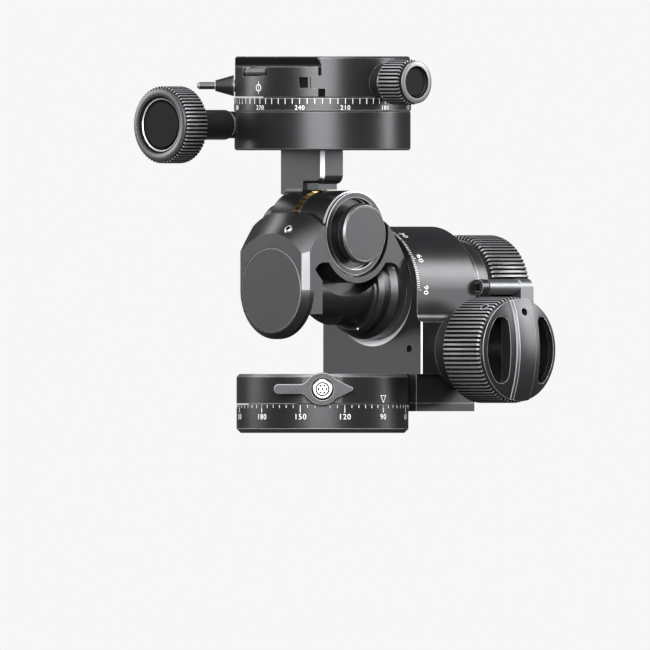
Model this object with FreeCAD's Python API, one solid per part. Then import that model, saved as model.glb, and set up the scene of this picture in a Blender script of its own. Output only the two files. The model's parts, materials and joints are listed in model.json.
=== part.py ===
import FreeCAD, Part
import math
import os

# Geared tripod head: a pan base, a tilt about an axis along Y (axis 1), a tilt about an axis
# along X (axis 2) and a turning quick-release clamp.  Millimetres, +Z up, origin at the middle
# of the mounting face, the clamp's channel along Y and the gear knob of axis 1 towards +X.

# ---- running fits and seams -------------------------------------------------------------
RUN = 0.05              # radial clearance of a shaft in its bore
SEAM = 0.3              # gap between faces that turn against each other
SHUT = 0.15             # gap round an inset cover

# ---- pan base ---------------------------------------------------------------------------
PAN_R = 29.0
BASE_H = 9.6
PAN_H = 10.0            # height of the turning pan body
PAN_RIM = 1.0           # chamfer round its top
EDGE = 0.6              # small turned chamfer
BREAK = 0.1             # corner that is barely broken
KEY_R = 0.9             # six-sided key of the small screws
KEY_DEPTH = 0.9
PAST = 1.0              # how far a cut runs past a face
FOOT_CHAMFER = 1.4
SPINDLE_R = 9.0
SPINDLE_FOOT_R = 14.0
SPINDLE_FOOT_H = 3.0
BUSH_WALL = 2.0
SOCKET_R = 3.97         # wall of the 3/8 inch tripod thread
SOCKET_DEPTH = 10.0
SOCKET_WALL = 2.2
PAN_NUT_R = 11.4
PAN_NUT_H = 2.6
PAN_CAP_R = 14.0
PAN_CAP_H = 1.6
WASHER_R = 25.0
WASHER_GAP = 0.05

# ---- pan lock lever, on the corner between +X and -Y ------------------------------------
LOCK_Z = 14.8
LOCK_PAD_W = 11.5       # width of the pad milled flat behind the lever
LOCK_SCREW_R = 2.5
LOCK_BOSS_R = 5.6
LOCK_T = 2.6            # thickness of the lever plate
LOCK_GRIP = 16.5        # from the screw to the tip of the grip
LOCK_GRIP_R = 1.7
LOCK_TAIL = 10.4
LOCK_TAIL_R = 0.9
LOCK_FLARE = (2.4, 7.4)  # where the boss runs out into the grip
LOCK_HEAD_R = 3.7
LOCK_HEAD_H = 1.5
TORX_R = 1.55
TORX_DEPTH = 1.2

# ---- tilt housing, round axis 1 ---------------------------------------------------------
AXIS1_Z = 48.2
HOUSE_Y0 = 23.8         # front face
HOUSE_L = 27.8
ARCH_R = 21.4
HOUSE_HALF_W = 23.5     # half width below the flare
FLARE_H = 3.4
FLARE_Z = 37.4
FLARE_BEND = 0.7
TAIL_HALF_W = 20.9      # half width of the part that hangs behind the pan
TAIL_Z0 = 7.3
TAIL_GAP = 0.7
BOTTOM_PLATE_T = 2.8
SETSCREW_R = 1.35
SETSCREW_L = 4.0
COVER_SCREW_IN = 4.5    # cover screws, in from the corners
COVER_SCREW_R = 1.5
COVER_HEAD_R = 2.6
COVER_HEAD_H = 1.2
COVER_SCREW_BITE = 3.0
HOUSE_SETSCREW_X = 17.4
HOUSE_SETSCREW_Z = 28.3
REAR_WALL = 4.6
REAR_COVER_L = 11.8
REAR_COVER_R = 17.5
REAR_STEP = 0.8

# ---- drum 1 and the gear of axis 1 ------------------------------------------------------
DRUM_R = 16.5
DRUM_FRONT_Y = 23.4
DRUM_L = 13.2
MOUTH_CHAMFER = 2.4     # conical mouth of the housing bore
TAIL_R = 10.0           # journal behind the worm wheel
DRUM_BORE_R = 4.5
GEAR_FACE = 2.6         # face width of each worm wheel
BACKLASH = 0.5          # share of the module taken as play between thread and teeth
PRESSURE_DEG = 20.0
DEDENDUM = 1.25         # depth of a tooth below its pitch circle, in modules
THREAD_SUNK = 0.3       # overlap of a thread with its core, in modules
WHEEL_RIM = 3.0         # rim of wheel 1 below its pitch circle, in modules
WHEEL3_RIM = 4.0        # the same for wheel 3
CURVE_STEPS = 12        # straight steps in the outline of the lever
COVE_STEPS = 4          # straight steps in a cove
THREAD_TURNS = 6
MODULE_TILT = 0.7
TEETH_1 = 42
WORM1_R = 5.5           # pitch radius
WORM1_Y = 43.5
SHAFT_R = 3.0
RETAINER_R = 12.5
RETAINER_T = 1.6

# ---- gear knob 1 ------------------------------------------------------------------------
CARRIER_R = 13.5
CARRIER_L = 7.4
KNOB1_R = 17.9
KNOB1_L = 17.3
KNOB1_FLUTES = 72
FLUTE_DEPTH = 0.45
CUP_R = 15.9
CUP_DEPTH = 5.0
GRIP_R = 17.3
GRIP_RIM = 1.5
GRIP_RISE = 3.5
BAND_HALF_W = 6.9
HOLE_FAR = 15.7         # far side of a finger hole, from the knob axis
HOLE_HALF_H = 11.3
GRIP_STUB_R = 5.0
HOLE_CORNER = 2.6
BAND_TOP_HALF_W = 4.5   # raised band across the grip
BAND_PROUD = 1.0
BAND_BEVEL = 0.7
BAND_SCREW_UP = 12.8    # set screw in the band, above the knob's axis
KNOB_SCREW_R = 1.35
KNOB1_SCREW_X = 44.0
KNOB1_SCREW_DEG = 126.0 # from +Y, about the knob's axis

# ---- gear knob 2, on axis 1 behind the housing ------------------------------------------
KNOB2_Y0 = 63.7
KNOB2_L = 17.3
KNOB2_IN = 5.0          # in from the side of the housing
KNOB2_FLUTES = 76
RING_W = 5.0            # width of the ring face of knob 2
INSERT_SINK = 1.0

# ---- tilt lock lever, beside knob 2 -----------------------------------------------------
TILT_LOCK_IN = 1.1      # from the side of the housing
TILT_LOCK_Z = 49.2
TILT_LOCK_R = 2.6
TILT_PIN_R = 1.5
TILT_LUG_T = 3.0
TILT_LOCK_L = 14.9
TILT_TAB_L = 6.0
TILT_TAB_DROP = 5.4
TILT_TAB_IN = 1.4
TILT_TAB_R = 2.8

# ---- cradle ----------------------------------------------------------------------------
AXIS2_Z = 67.25
CRADLE_Y0 = -24.6
CRADLE_HALF_W = 16.6
CRADLE_TOP = 74.2
CONE_SMALL_R = 19.05    # cone radius at the front and rear face
CONE_BIG_R = 27.2
FACE_CHAMFER = 2.0
COVER_R = 14.15
COVER_T = 1.2
SEAT_GAP = 0.25         # gap between the hub of the yoke and its trough
TROUGH_WALL = 1.9
WINDOW_HALF_L = 20.6
WINDOW_TOP = 57.5
WINDOW_R = 4.7
TUBE_R = 11.8
SADDLE_R = 21.2
SADDLE_X = 7.2
COLLAR1_Y = 13.5
COLLAR1_R = 14.8
COLLAR1_CHAMFER = 1.35
COLLAR2_Y = 17.9
COLLAR2_CHAMFER = 1.6
CONE_SCREW_R = 1.7
CONE_SCREW_X = 6.0
CONE_SCREW_DOWN = 5.0   # below the top of the cradle
CONE_SCREW_L = 3.8
CONE_SCREW_SINK = 0.2
CRADLE_SCREW_R = 1.5
CRADLE_SCREW_OUT = 10.5 # from axis 1
CRADLE_SCREW_BITE = 6.0
CRADLE_SCREW_HEAD = 1.0
WORM2_END_WALL = 2.0
LEG_X = 14.0            # block that carries the front end of worm 2
LEG_Z0 = 40.1
TUBE_COVE = 1.6         # concave fillet at each end of the tube
TUBE_RISE_Y = 2.0       # the tube's underside is flat in front of this

# ---- yoke and the gear of axis 2 --------------------------------------------------------
HUB_R = 14.5
HUB_X0 = -12.1
DRUM2_X1 = 14.5
JOURNAL2_R = 10.8
JOURNAL2_L = 4.4
FLANGE2_R = 14.0
FLANGE2_L = 1.3
FLANGE2_BORE_R = 12.1
FLANGE2_SINK = 2.3
TEETH_2 = 40
AXLE_R = 4.0
CAP_R = 10.1
CAP_T = 3.4
CAP_X = 17.1            # inner face of an axle cap
CAP_NECK_R = 8.4
CAP_DISC_R = 9.1
STEM_X0 = -14.4
STEM_X1 = 5.45
STEM_STEP_X = -4.0
STEM_HALF_W = 5.45
STEM_CHAMFER = 1.15
STEM_DROP = 1.35        # overhang of the stem below the top of the hub
PAD_IN = 1.0
STEM_STEP_Z = 84.0
STEM_STEP_R = 3.0
STEM_FILLET = 3.0
RELIEF_CLEAR = 0.3
RELIEF_HALF_DEG = 68.0

# ---- turning clamp ----------------------------------------------------------------------
ROTATOR_Z0 = 95.3
ROTATOR_PROUD = 0.2     # rim of the rotator body past the rim of the clamp
ROTATOR_H = 13.3
ROTATOR_RIM = 0.4
SCALE_RIM = 0.2
SCALE_PROUD = 0.35      # rim of the scale past the rim of the clamp
SCALE_H = 4.5
PLATE_T = 5.6           # floor of the rotator body
MODULE_TURN = 0.5
TEETH_3 = 74
WORM3_R = 3.75
WORM3_Z = 103.9
SHAFT3_R = 2.0
HUB3_R = 20.0
POST_R = 7.0
STUD_R = 2.5
STUD_L = 12.0
POST_STUD_L = 9.0
WORM3_END_GAP = 3.0
WORM3_TAIL = 2.0
POST_NUT_R = 10.0
POST_NUT_H = 2.2
SLEEVE_BIG_R = 5.05
SLEEVE_STEP_IN = 5.7    # step of the sleeve, in from the rim of the clamp
KNOB3_OUT = 15.4        # out from the rim of the clamp
KNOB3_L = 10.7
KNOB3_R = 13.0
KNOB3_FLUTES = 60
KNOB3_INSERT_R = 7.75
KNOB3_RING_R = 9.3
STEM_SCREW_X = -10.4
STEM_SCREW_R = 2.0
STEM_SCREW_HEAD_R = 3.4
STEM_SCREW_HEAD_H = 2.2

# ---- clamp for a dovetail plate ---------------------------------------------------------
CLAMP_R = 29.5
CLAMP_H = 13.6
CHANNEL_DEPTH = 3.6
PLATE_HALF_W = 20.6     # half width of the plate's foot
LIP_HALF_W = 19.6
LIP_H = 0.6
FOOT_H = 0.8
JAW_SPLIT_X = 19.75     # face of the fixed part towards the jaw
JAW_LOW_X = 21.5        # face of the jaw below its tongue
JAW_TONGUE_X = 17.9
JAW_TONGUE_RISE = 2.7   # above the underside of the clamp
JAW_TONGUE_H = 4.3
JAW_BOSS_R = 6.4
JAW_BOSS_X = 33.0
GUIDE_R = 1.5
GUIDE_Y = 12.0
GUIDE_X0 = 10.0
GUIDE_X1 = 24.5
CLAMP_SCREW_RISE = 4.9
CLAMP_KNOB_L = 11.7
CLAMP_KNOB_R = 7.6
CLAMP_KNOB_FLUTES = 36
CLAMP_INSERT_R = 4.7
CLAMP_RING_R = 5.55
CLAMP_SCREW_R = 2.6
CLAMP_SCREW_X0 = 8.0
LEVEL_X = -3.7
LEVEL_R = 1.2
LEVEL_L = 13.2
LEVEL_END_L = 0.8
LEVEL_SINK = 0.35       # below the floor of the clamp
LEVEL_DEPTH = 3.2
LEVEL_Y = -25.6
LEVEL_PLAY = 0.05
POCKET_W = 3.1
POCKET_DEG = -57.5
POCKET_RISE = 2.9
POCKET_H = 3.7
POCKET_DEPTH = 2.4

# ---- rotator lock -----------------------------------------------------------------------
TURN_LOCK_RISE = 3.7
TURN_BAR_R = 1.2
TURN_BAR_L = 6.1
TURN_CONE_SMALL_R = 1.8
TURN_CONE_BIG_R = 3.6
TURN_CONE_L = 6.4
TURN_SCREW_R = 2.0
TURN_SCREW_END = 12.0   # inner end of the screw, from the pan axis

# ---- worked out -------------------------------------------------------------------------
PAN_Z0 = BASE_H + SEAM
PAN_TOP = PAN_Z0 + PAN_H
HOUSE_Y1 = HOUSE_Y0 + HOUSE_L
KNOB2_R = HOUSE_HALF_W - KNOB2_IN
REAR_WALL_Y = HOUSE_Y1 - REAR_WALL
WORM1_Z = AXIS1_Z - (MODULE_TILT * TEETH_1 / 2 + WORM1_R)
WORM2_R = AXIS2_Z - AXIS1_Z - MODULE_TILT * TEETH_2 / 2
WORM3_X = -(MODULE_TURN * TEETH_3 / 2 + WORM3_R)
ROTATOR_TOP = ROTATOR_Z0 + ROTATOR_H
ROTATOR_R = CLAMP_R + ROTATOR_PROUD
SCALE_R = CLAMP_R + SCALE_PROUD
KNOB3_Y0 = -CLAMP_R - KNOB3_OUT
SLEEVE_STEP_Y = SLEEVE_STEP_IN - CLAMP_R
SCALE_TOP = ROTATOR_TOP + SCALE_H
CLAMP_Z0 = SCALE_TOP + SEAM
CLAMP_TOP = CLAMP_Z0 + CLAMP_H
CLAMP_FLOOR = CLAMP_TOP - CHANNEL_DEPTH
JAW_TONGUE_Z = CLAMP_Z0 + JAW_TONGUE_RISE
GUIDE_Z = JAW_TONGUE_Z + JAW_TONGUE_H / 2
CLAMP_KNOB_Z = CLAMP_Z0 + CLAMP_SCREW_RISE
CLAMP_KNOB_X0 = JAW_BOSS_X + SEAM
TURN_LOCK_Z = CLAMP_Z0 + TURN_LOCK_RISE
TILT_LOCK_X = HOUSE_HALF_W - TILT_LOCK_IN
TILT_LOCK_Y1 = HOUSE_Y1 + TILT_LUG_T + TILT_LOCK_L
LOCK_PAD = math.sqrt(PAN_R ** 2 - (LOCK_PAD_W / 2) ** 2)
LOCK_PLATE = PAN_R + SEAM / 2        # inner face of the lock lever
KNOB1_X0 = HOUSE_HALF_W + CARRIER_L + SEAM
KNOB1_X1 = KNOB1_X0 + KNOB1_L

V = FreeCAD.Vector
ORIGIN = V(0, 0, 0)
ALONG_X = V(1, 0, 0)
ALONG_Y = V(0, 1, 0)
UP = V(0, 0, 1)
CORNER = V(1, -1, 0).normalize()     # radial direction of the pan lock
SIDEWAYS = V(-1, -1, 0).normalize()  # along the pan lock's grip, and the rotator lock

# Lines that things turn about: (point, direction)
PAN_AXIS = (ORIGIN, UP)
AXIS1 = (V(0, 0, AXIS1_Z), ALONG_Y)
AXIS2 = (V(0, 0, AXIS2_Z), ALONG_X)
WORM1_AXIS = (V(0, WORM1_Y, WORM1_Z), ALONG_X)
WORM3_AXIS = (V(WORM3_X, 0, WORM3_Z), ALONG_Y)
LOCK_AXIS = (V(0, 0, LOCK_Z), CORNER)
TILT_LOCK_AXIS = (V(TILT_LOCK_X, 0, TILT_LOCK_Z), ALONG_Y)
CLAMP_SCREW_AXIS = (V(0, 0, CLAMP_KNOB_Z), ALONG_X)
TURN_LOCK_AXIS = (V(0, 0, TURN_LOCK_Z), SIDEWAYS)


# ---- building blocks --------------------------------------------------------------------
def box(x0, x1, y0, y1, z0, z1):
    return Part.makeBox(x1 - x0, y1 - y0, z1 - z0, V(x0, y0, z0))


def rod(line, radius, start, end):
    point, direction = line
    return Part.makeCylinder(radius, end - start, point + direction * start, direction)


def tube(line, outer, inner, start, end):
    return rod(line, outer, start, end).cut(rod(line, inner, start, end))


def across(direction):
    """A direction square to the given one."""
    if abs(direction.z) < 0.5:
        return UP
    return ALONG_X


def turned(line, outline):
    """A solid of revolution: outline holds (place along the line, radius) points."""
    point, direction = line
    out = across(direction)
    corners = [point + direction * a + out * r for a, r in outline]
    face = Part.Face(Part.makePolygon(corners + corners[:1]))
    return face.revolve(point, direction, 360)


def cove(place, step, radius, size):
    """Outline points of a concave quarter round that ends square to the line."""
    points = []
    for i in range(COVE_STEPS + 1):
        turn = math.pi / 2 * i / COVE_STEPS
        points.append((place + step * size * (1 - math.sin(turn)),
                       radius + size * (1 - math.cos(turn))))
    return points


def disc(line, radius, start, end, chamfer, chamfer_end=None):
    """A turned disc with its two rims chamfered."""
    last = chamfer if chamfer_end is None else chamfer_end
    outline = [(start, 0), (start, radius - chamfer), (start + chamfer, radius)]
    outline += [(end - last, radius), (end, radius - last), (end, 0)]
    return turned(line, outline)


def extruded(corners, reach):
    face = Part.Face(Part.makePolygon(corners + corners[:1]))
    return face.extrude(reach)


def fluted(line, radius, start, end, count, chamfer):
    """A knob's grip: straight flutes round it, and chamfered ends."""
    point, direction = line
    out = across(direction)
    side = direction.cross(out)
    corners = []
    for i in range(2 * count):
        angle = math.pi * i / count
        r = radius if i % 2 == 0 else radius - FLUTE_DEPTH
        spoke = out * (r * math.cos(angle)) + side * (r * math.sin(angle))
        corners.append(point + direction * start + spoke)
    star = extruded(corners, direction * (end - start))
    return star.common(disc(line, radius, start, end, chamfer))


def half_tooth(radius, pitch_radius, module):
    """Half the thickness of a tooth at a radius, from the involute."""
    pressure = math.radians(PRESSURE_DEG)
    base = pitch_radius * math.cos(pressure)
    turn = math.acos(min(1.0, base / radius))
    swing = math.tan(pressure) - pressure - math.tan(turn) + turn
    at_pitch = module * (math.pi - BACKLASH) / 4
    return at_pitch / pitch_radius + swing


def worm_wheel(line, to_worm, teeth, module, start, bore):
    """Teeth round a ring, with a gap between two teeth facing the worm."""
    point, direction = line
    side = direction.cross(to_worm)
    pitch_radius = module * teeth / 2
    root = pitch_radius - DEDENDUM * module
    tip = pitch_radius + module
    corners = []
    for i in range(round(teeth)):
        middle = 2 * math.pi * (i + 0.5) / teeth
        for radius, sign in ((root, -1), (tip, -1), (tip, 1), (root, 1)):
            angle = middle + sign * half_tooth(radius, pitch_radius, module)
            spoke = to_worm * (radius * math.cos(angle)) + side * (radius * math.sin(angle))
            corners.append(point + direction * start + spoke)
    blank = extruded(corners, direction * GEAR_FACE)
    return blank.cut(rod(line, bore, start - PAST, start + GEAR_FACE + PAST))


def worm(line, to_wheel, pitch_radius, module, shaft):
    """A shaft with one continuous thread, its ridge facing the wheel at mid length.

    shaft is (radius, start, end) along the line.
    """
    point, direction = line
    root = pitch_radius - DEDENDUM * module
    slope = math.tan(math.radians(PRESSURE_DEG))
    middle = module * (math.pi - BACKLASH) / 4
    sunk = THREAD_SUNK * module
    foot = middle + (DEDENDUM * module + sunk) * slope
    crest = middle - module * slope
    length = THREAD_TURNS * math.pi * module
    z0 = -length / 2
    tip = pitch_radius + module
    section = Part.makePolygon([V(root - sunk, 0, z0 - foot), V(tip, 0, z0 - crest),
                                V(tip, 0, z0 + crest), V(root - sunk, 0, z0 + foot),
                                V(root - sunk, 0, z0 - foot)])
    path = Part.makeHelix(math.pi * module, length, root)
    path.translate(V(0, 0, z0))
    thread = Part.Wire(path.Edges).makePipeShell([section], True, True)
    reach = worm_reach(module)
    radius, start, end = shaft
    core = turned((ORIGIN, UP), [(start, 0), (start, radius), (-reach, radius), (-reach, root),
                                 (reach, root), (reach, radius), (end, radius), (end, 0)])
    solid = core.fuse(thread)
    turn = FreeCAD.Rotation(to_wheel, direction.cross(to_wheel), direction, "ZXY")
    solid.Placement = FreeCAD.Placement(point, turn)
    return solid


def worm_reach(module):
    """Half the length of a worm, with its run-outs."""
    foot = module * (math.pi - BACKLASH) / 4
    foot += DEDENDUM * module * math.tan(math.radians(PRESSURE_DEG))
    return THREAD_TURNS * math.pi * module / 2 + 2 * foot


def countersunk(line, radius, head_r, head_h, tip, face):
    """A screw with a cone head flush with a face, and a six-sided socket in it."""
    point, direction = line
    shank = rod(line, radius, tip, face - head_h)
    head = turned(line, [(face - head_h, 0), (face - head_h, radius), (face, head_r), (face, 0)])
    return shank.fuse(head)


def socket(line, radius, depth, face):
    """A six-sided socket, as a tool to cut with."""
    point, direction = line
    out = across(direction)
    side = direction.cross(out)
    corners = []
    for i in range(6):
        angle = math.pi * i / 3
        spoke = out * (radius * math.cos(angle)) + side * (radius * math.sin(angle))
        corners.append(point + direction * (face - depth) + spoke)
    return extruded(corners, direction * (depth + PAST))


# ---- pan base ---------------------------------------------------------------------------
def base_ring():
    ring = turned(PAN_AXIS, [(0, 0), (0, PAN_R - FOOT_CHAMFER), (FOOT_CHAMFER, PAN_R),
                             (BASE_H, PAN_R), (BASE_H, 0)])
    foot = rod(PAN_AXIS, SPINDLE_FOOT_R, 0, SPINDLE_FOOT_H)
    return ring.cut(foot).cut(rod(PAN_AXIS, SPINDLE_R, 0, BASE_H + PAST))


def pan_nut_z():
    return PAN_TOP - PAN_CAP_H - SEAM - PAN_NUT_H


def pan_spindle():
    post = rod(PAN_AXIS, SPINDLE_R, 0, pan_nut_z() + PAN_NUT_H)
    foot = rod(PAN_AXIS, SPINDLE_FOOT_R, 0, SPINDLE_FOOT_H)
    return post.fuse(foot).cut(rod(PAN_AXIS, SOCKET_R + SOCKET_WALL, 0, SOCKET_DEPTH))


def tripod_bush():
    bush = rod(PAN_AXIS, SOCKET_R + SOCKET_WALL, 0, SOCKET_DEPTH)
    return bush.cut(rod(PAN_AXIS, SOCKET_R, 0, SOCKET_DEPTH))


def pan_nut():
    z = pan_nut_z()
    return tube(PAN_AXIS, PAN_NUT_R, SPINDLE_R, z, z + PAN_NUT_H)


def thrust_washer():
    return tube(PAN_AXIS, WASHER_R, SPINDLE_R + BUSH_WALL, BASE_H, PAN_Z0 - WASHER_GAP)


def pan_body():
    body = disc(PAN_AXIS, PAN_R, PAN_Z0, PAN_TOP, BREAK, PAN_RIM)
    body = body.cut(rod(PAN_AXIS, SPINDLE_R + BUSH_WALL, PAN_Z0 - PAST, PAN_TOP))
    body = body.cut(rod(PAN_AXIS, PAN_NUT_R + SEAM, pan_nut_z() - SEAM, PAN_TOP))
    body = body.cut(rod(PAN_AXIS, PAN_CAP_R, PAN_TOP - PAN_CAP_H, PAN_TOP + PAST))
    half = LOCK_PAD_W / 2
    pad = box(-half, half, -PAN_R - PAST, -LOCK_PAD, PAN_Z0 - PAST, PAN_TOP + PAST)
    pad.rotate(ORIGIN, UP, 45)
    body = body.cut(pad)
    return body.cut(rod(LOCK_AXIS, LOCK_SCREW_R + RUN, SPINDLE_R, PAN_R))


def pan_bush():
    return tube(PAN_AXIS, SPINDLE_R + BUSH_WALL, SPINDLE_R + RUN, PAN_Z0, pan_nut_z() - SEAM)


def pan_cap():
    return rod(PAN_AXIS, PAN_CAP_R, PAN_TOP - PAN_CAP_H, PAN_TOP)


def lever_half_width(place):
    """Half the width of the lever, at a place along it towards the grip."""
    flare0, flare1 = LOCK_FLARE
    if place < 0:
        return LOCK_BOSS_R + (LOCK_BOSS_R - LOCK_TAIL_R) * place / (LOCK_TAIL - LOCK_TAIL_R)
    if place < flare0:
        return math.sqrt(LOCK_BOSS_R ** 2 - place ** 2)
    share = min(1.0, (place - flare0) / (flare1 - flare0))
    wide = math.sqrt(LOCK_BOSS_R ** 2 - flare0 ** 2)
    return LOCK_GRIP_R + (wide - LOCK_GRIP_R) * (1 + math.cos(math.pi * share)) / 2


def pan_lever():
    """Flat lever: a round boss, a slim grip with a round tip and a short pointed tail."""
    start = LOCK_PLATE
    end = start + LOCK_T
    centre = LOCK_AXIS[0] + CORNER * start
    tail_end = LOCK_TAIL_R - LOCK_TAIL
    places = [tail_end, tail_end / 2, -LOCK_BOSS_R / 3]
    places += [LOCK_FLARE[1] * i / CURVE_STEPS for i in range(CURVE_STEPS + 1)] + [LOCK_GRIP - LOCK_GRIP_R]
    upper = [centre + SIDEWAYS * p + UP * lever_half_width(p) for p in places]
    lower = [centre + SIDEWAYS * p - UP * lever_half_width(p) for p in reversed(places)]
    plate = extruded(upper + lower, CORNER * LOCK_T)
    tip_line = (LOCK_AXIS[0] + SIDEWAYS * (LOCK_GRIP - LOCK_GRIP_R), CORNER)
    tail_line = (LOCK_AXIS[0] + SIDEWAYS * tail_end, CORNER)
    plate = plate.fuse([rod(LOCK_AXIS, LOCK_BOSS_R, start, end),
                        rod(tip_line, LOCK_GRIP_R, start, end),
                        rod(tail_line, LOCK_TAIL_R, start, end)])
    return plate.cut(lock_screw_solid(end))


def lock_screw_solid(face):
    return countersunk(LOCK_AXIS, LOCK_SCREW_R, LOCK_HEAD_R, LOCK_HEAD_H,
                       PAN_NUT_R + SEAM, face)


def pan_lever_screw():
    face = LOCK_PLATE + LOCK_T
    return lock_screw_solid(face).cut(socket(LOCK_AXIS, TORX_R, TORX_DEPTH, face))


# ---- tilt housing -----------------------------------------------------------------------
def housing_outline():
    """Arch over axis 1, a concave flare on each side, and a block down to the pan."""
    y = HOUSE_Y0
    top = V(0, y, AXIS1_Z + ARCH_R)
    flare_z = FLARE_Z + FLARE_H
    edges = [Part.Arc(V(-ARCH_R, y, AXIS1_Z), top, V(ARCH_R, y, AXIS1_Z)).toShape()]
    step = (HOUSE_HALF_W - ARCH_R) * (1 - FLARE_BEND)
    for sign in (1, -1):
        side = [V(sign * ARCH_R, y, AXIS1_Z), V(sign * ARCH_R, y, flare_z)]
        low = V(sign * HOUSE_HALF_W, y, FLARE_Z)
        mid = V(sign * (ARCH_R + step), y, FLARE_Z + FLARE_H * (1 - FLARE_BEND))
        edges.append(Part.makeLine(side[0], side[1]))
        edges.append(Part.Arc(side[1], mid, low).toShape())
        edges.append(Part.makeLine(low, V(sign * HOUSE_HALF_W, y, PAN_TOP)))
    edges.append(Part.makeLine(V(-HOUSE_HALF_W, y, PAN_TOP), V(HOUSE_HALF_W, y, PAN_TOP)))
    return Part.Face(Part.Wire(Part.__sortEdges__(edges)))


def tilt_housing():
    body = housing_outline().extrude(ALONG_Y * HOUSE_L)
    tail = box(-TAIL_HALF_W, TAIL_HALF_W, HOUSE_Y0, HOUSE_Y1, TAIL_Z0 + BOTTOM_PLATE_T,
               PAN_TOP + PAST)
    tail = tail.cut(rod(PAN_AXIS, PAN_R + TAIL_GAP, 0, PAN_TOP))
    body = body.fuse(tail).removeSplitter()
    bore = DRUM_R + RUN
    front = HOUSE_Y0 - PAST
    back = HOUSE_Y1 + PAST
    body = body.cut(turned(AXIS1, [(front, 0), (front, bore + MOUTH_CHAMFER + PAST),
                                   (HOUSE_Y0 + MOUTH_CHAMFER, bore), (REAR_WALL_Y, bore),
                                   (REAR_WALL_Y, TAIL_R + RUN), (back, TAIL_R + RUN), (back, 0)]))
    worm_start = -HOUSE_HALF_W + REAR_WALL
    body = body.cut(rod(WORM1_AXIS, worm1_chamber(), worm_start, HOUSE_HALF_W + PAST))
    screw_line = (V(HOUSE_SETSCREW_X, 0, HOUSE_SETSCREW_Z), ALONG_Y)
    body = body.cut(rod(screw_line, SETSCREW_R, HOUSE_Y0 - PAST, HOUSE_Y0 + SETSCREW_L))
    return body.cut(cover_screw_set())


def worm1_chamber():
    return WORM1_R + MODULE_TILT + SEAM


def bottom_cover():
    plate = box(-TAIL_HALF_W, TAIL_HALF_W, HOUSE_Y0, HOUSE_Y1, TAIL_Z0, TAIL_Z0 + BOTTOM_PLATE_T)
    return plate.cut(rod(PAN_AXIS, PAN_R + TAIL_GAP, 0, PAN_TOP)).cut(cover_screw_set())


def cover_screw_lines():
    x = TAIL_HALF_W - COVER_SCREW_IN
    y = HOUSE_Y1 - COVER_SCREW_IN
    return [(V(x, y, 0), -UP), (V(-x, y, 0), -UP)]


def cover_screw_set():
    tip = -TAIL_Z0 - BOTTOM_PLATE_T - COVER_SCREW_BITE
    screws = [countersunk(line, COVER_SCREW_R, COVER_HEAD_R, COVER_HEAD_H, tip, -TAIL_Z0)
              for line in cover_screw_lines()]
    return Part.makeCompound(screws)


def cover_screws():
    tools = [socket(line, KEY_R, KEY_DEPTH, -TAIL_Z0) for line in cover_screw_lines()]
    return cover_screw_set().cut(Part.makeCompound(tools))


def rear_cover():
    end = HOUSE_Y1 + REAR_COVER_L
    step = HOUSE_Y1 + REAR_COVER_L / 2
    small = REAR_COVER_R - REAR_STEP
    body = turned(AXIS1, [(HOUSE_Y1, 0), (HOUSE_Y1, REAR_COVER_R), (step, REAR_COVER_R),
                          (step + REAR_STEP, small), (end - EDGE, small), (end, small - EDGE),
                          (end, 0)])
    lug_line = TILT_LOCK_AXIS
    lug = rod(lug_line, TILT_LOCK_R, HOUSE_Y1, HOUSE_Y1 + TILT_LUG_T)
    web = box(REAR_COVER_R / 2, TILT_LOCK_X, HOUSE_Y1, HOUSE_Y1 + TILT_LUG_T,
              TILT_LOCK_Z - TILT_LOCK_R, TILT_LOCK_Z + TILT_LOCK_R)
    body = body.fuse([lug, web])
    body = body.cut(rod(AXIS1, RETAINER_R + SEAM, HOUSE_Y1 - PAST, step))
    body = body.cut(rod(AXIS1, SHAFT_R + SEAM, HOUSE_Y1, end + PAST))
    pin_end = HOUSE_Y1 + TILT_LUG_T + PAST
    return body.cut(rod(lug_line, TILT_PIN_R + RUN, HOUSE_Y1 - PAST, pin_end))


# ---- worm 1, its carrier and knob -------------------------------------------------------
def worm_1_carrier():
    end = HOUSE_HALF_W + CARRIER_L
    body = disc(WORM1_AXIS, CARRIER_R, HOUSE_HALF_W, end, BREAK, EDGE)
    spigot = rod(WORM1_AXIS, worm1_chamber(), worm_reach(MODULE_TILT) + SEAM, HOUSE_HALF_W)
    return body.fuse(spigot).cut(rod(WORM1_AXIS, SHAFT_R + RUN, 0, end + PAST))


def worm_1_bush():
    start = -HOUSE_HALF_W + REAR_WALL
    return tube(WORM1_AXIS, worm1_chamber(), SHAFT_R + RUN, start, -worm_reach(MODULE_TILT) - SEAM)


def worm_1():
    start = -HOUSE_HALF_W + REAR_WALL + SEAM
    return worm(WORM1_AXIS, UP, WORM1_R, MODULE_TILT, (SHAFT_R, start, KNOB1_X1 - 2 * CUP_DEPTH))


def knob_1():
    grip = fluted(WORM1_AXIS, KNOB1_R, KNOB1_X0, KNOB1_X1, KNOB1_FLUTES, EDGE)
    grip = grip.cut(rod(WORM1_AXIS, CUP_R, KNOB1_X1 - CUP_DEPTH, KNOB1_X1 + PAST))
    grip = grip.cut(rod(WORM1_AXIS, GRIP_STUB_R + RUN, KNOB1_X1 - 2 * CUP_DEPTH, KNOB1_X1))
    turn = math.radians(KNOB1_SCREW_DEG)
    out = V(0, math.cos(turn), math.sin(turn))
    screw_line = (WORM1_AXIS[0] + ALONG_X * KNOB1_SCREW_X, out)
    grip = grip.cut(rod(screw_line, KNOB_SCREW_R, CUP_R - PAST, KNOB1_R + PAST))
    return grip.cut(rod(WORM1_AXIS, SHAFT_R, KNOB1_X0 - PAST, KNOB1_X1))


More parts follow.
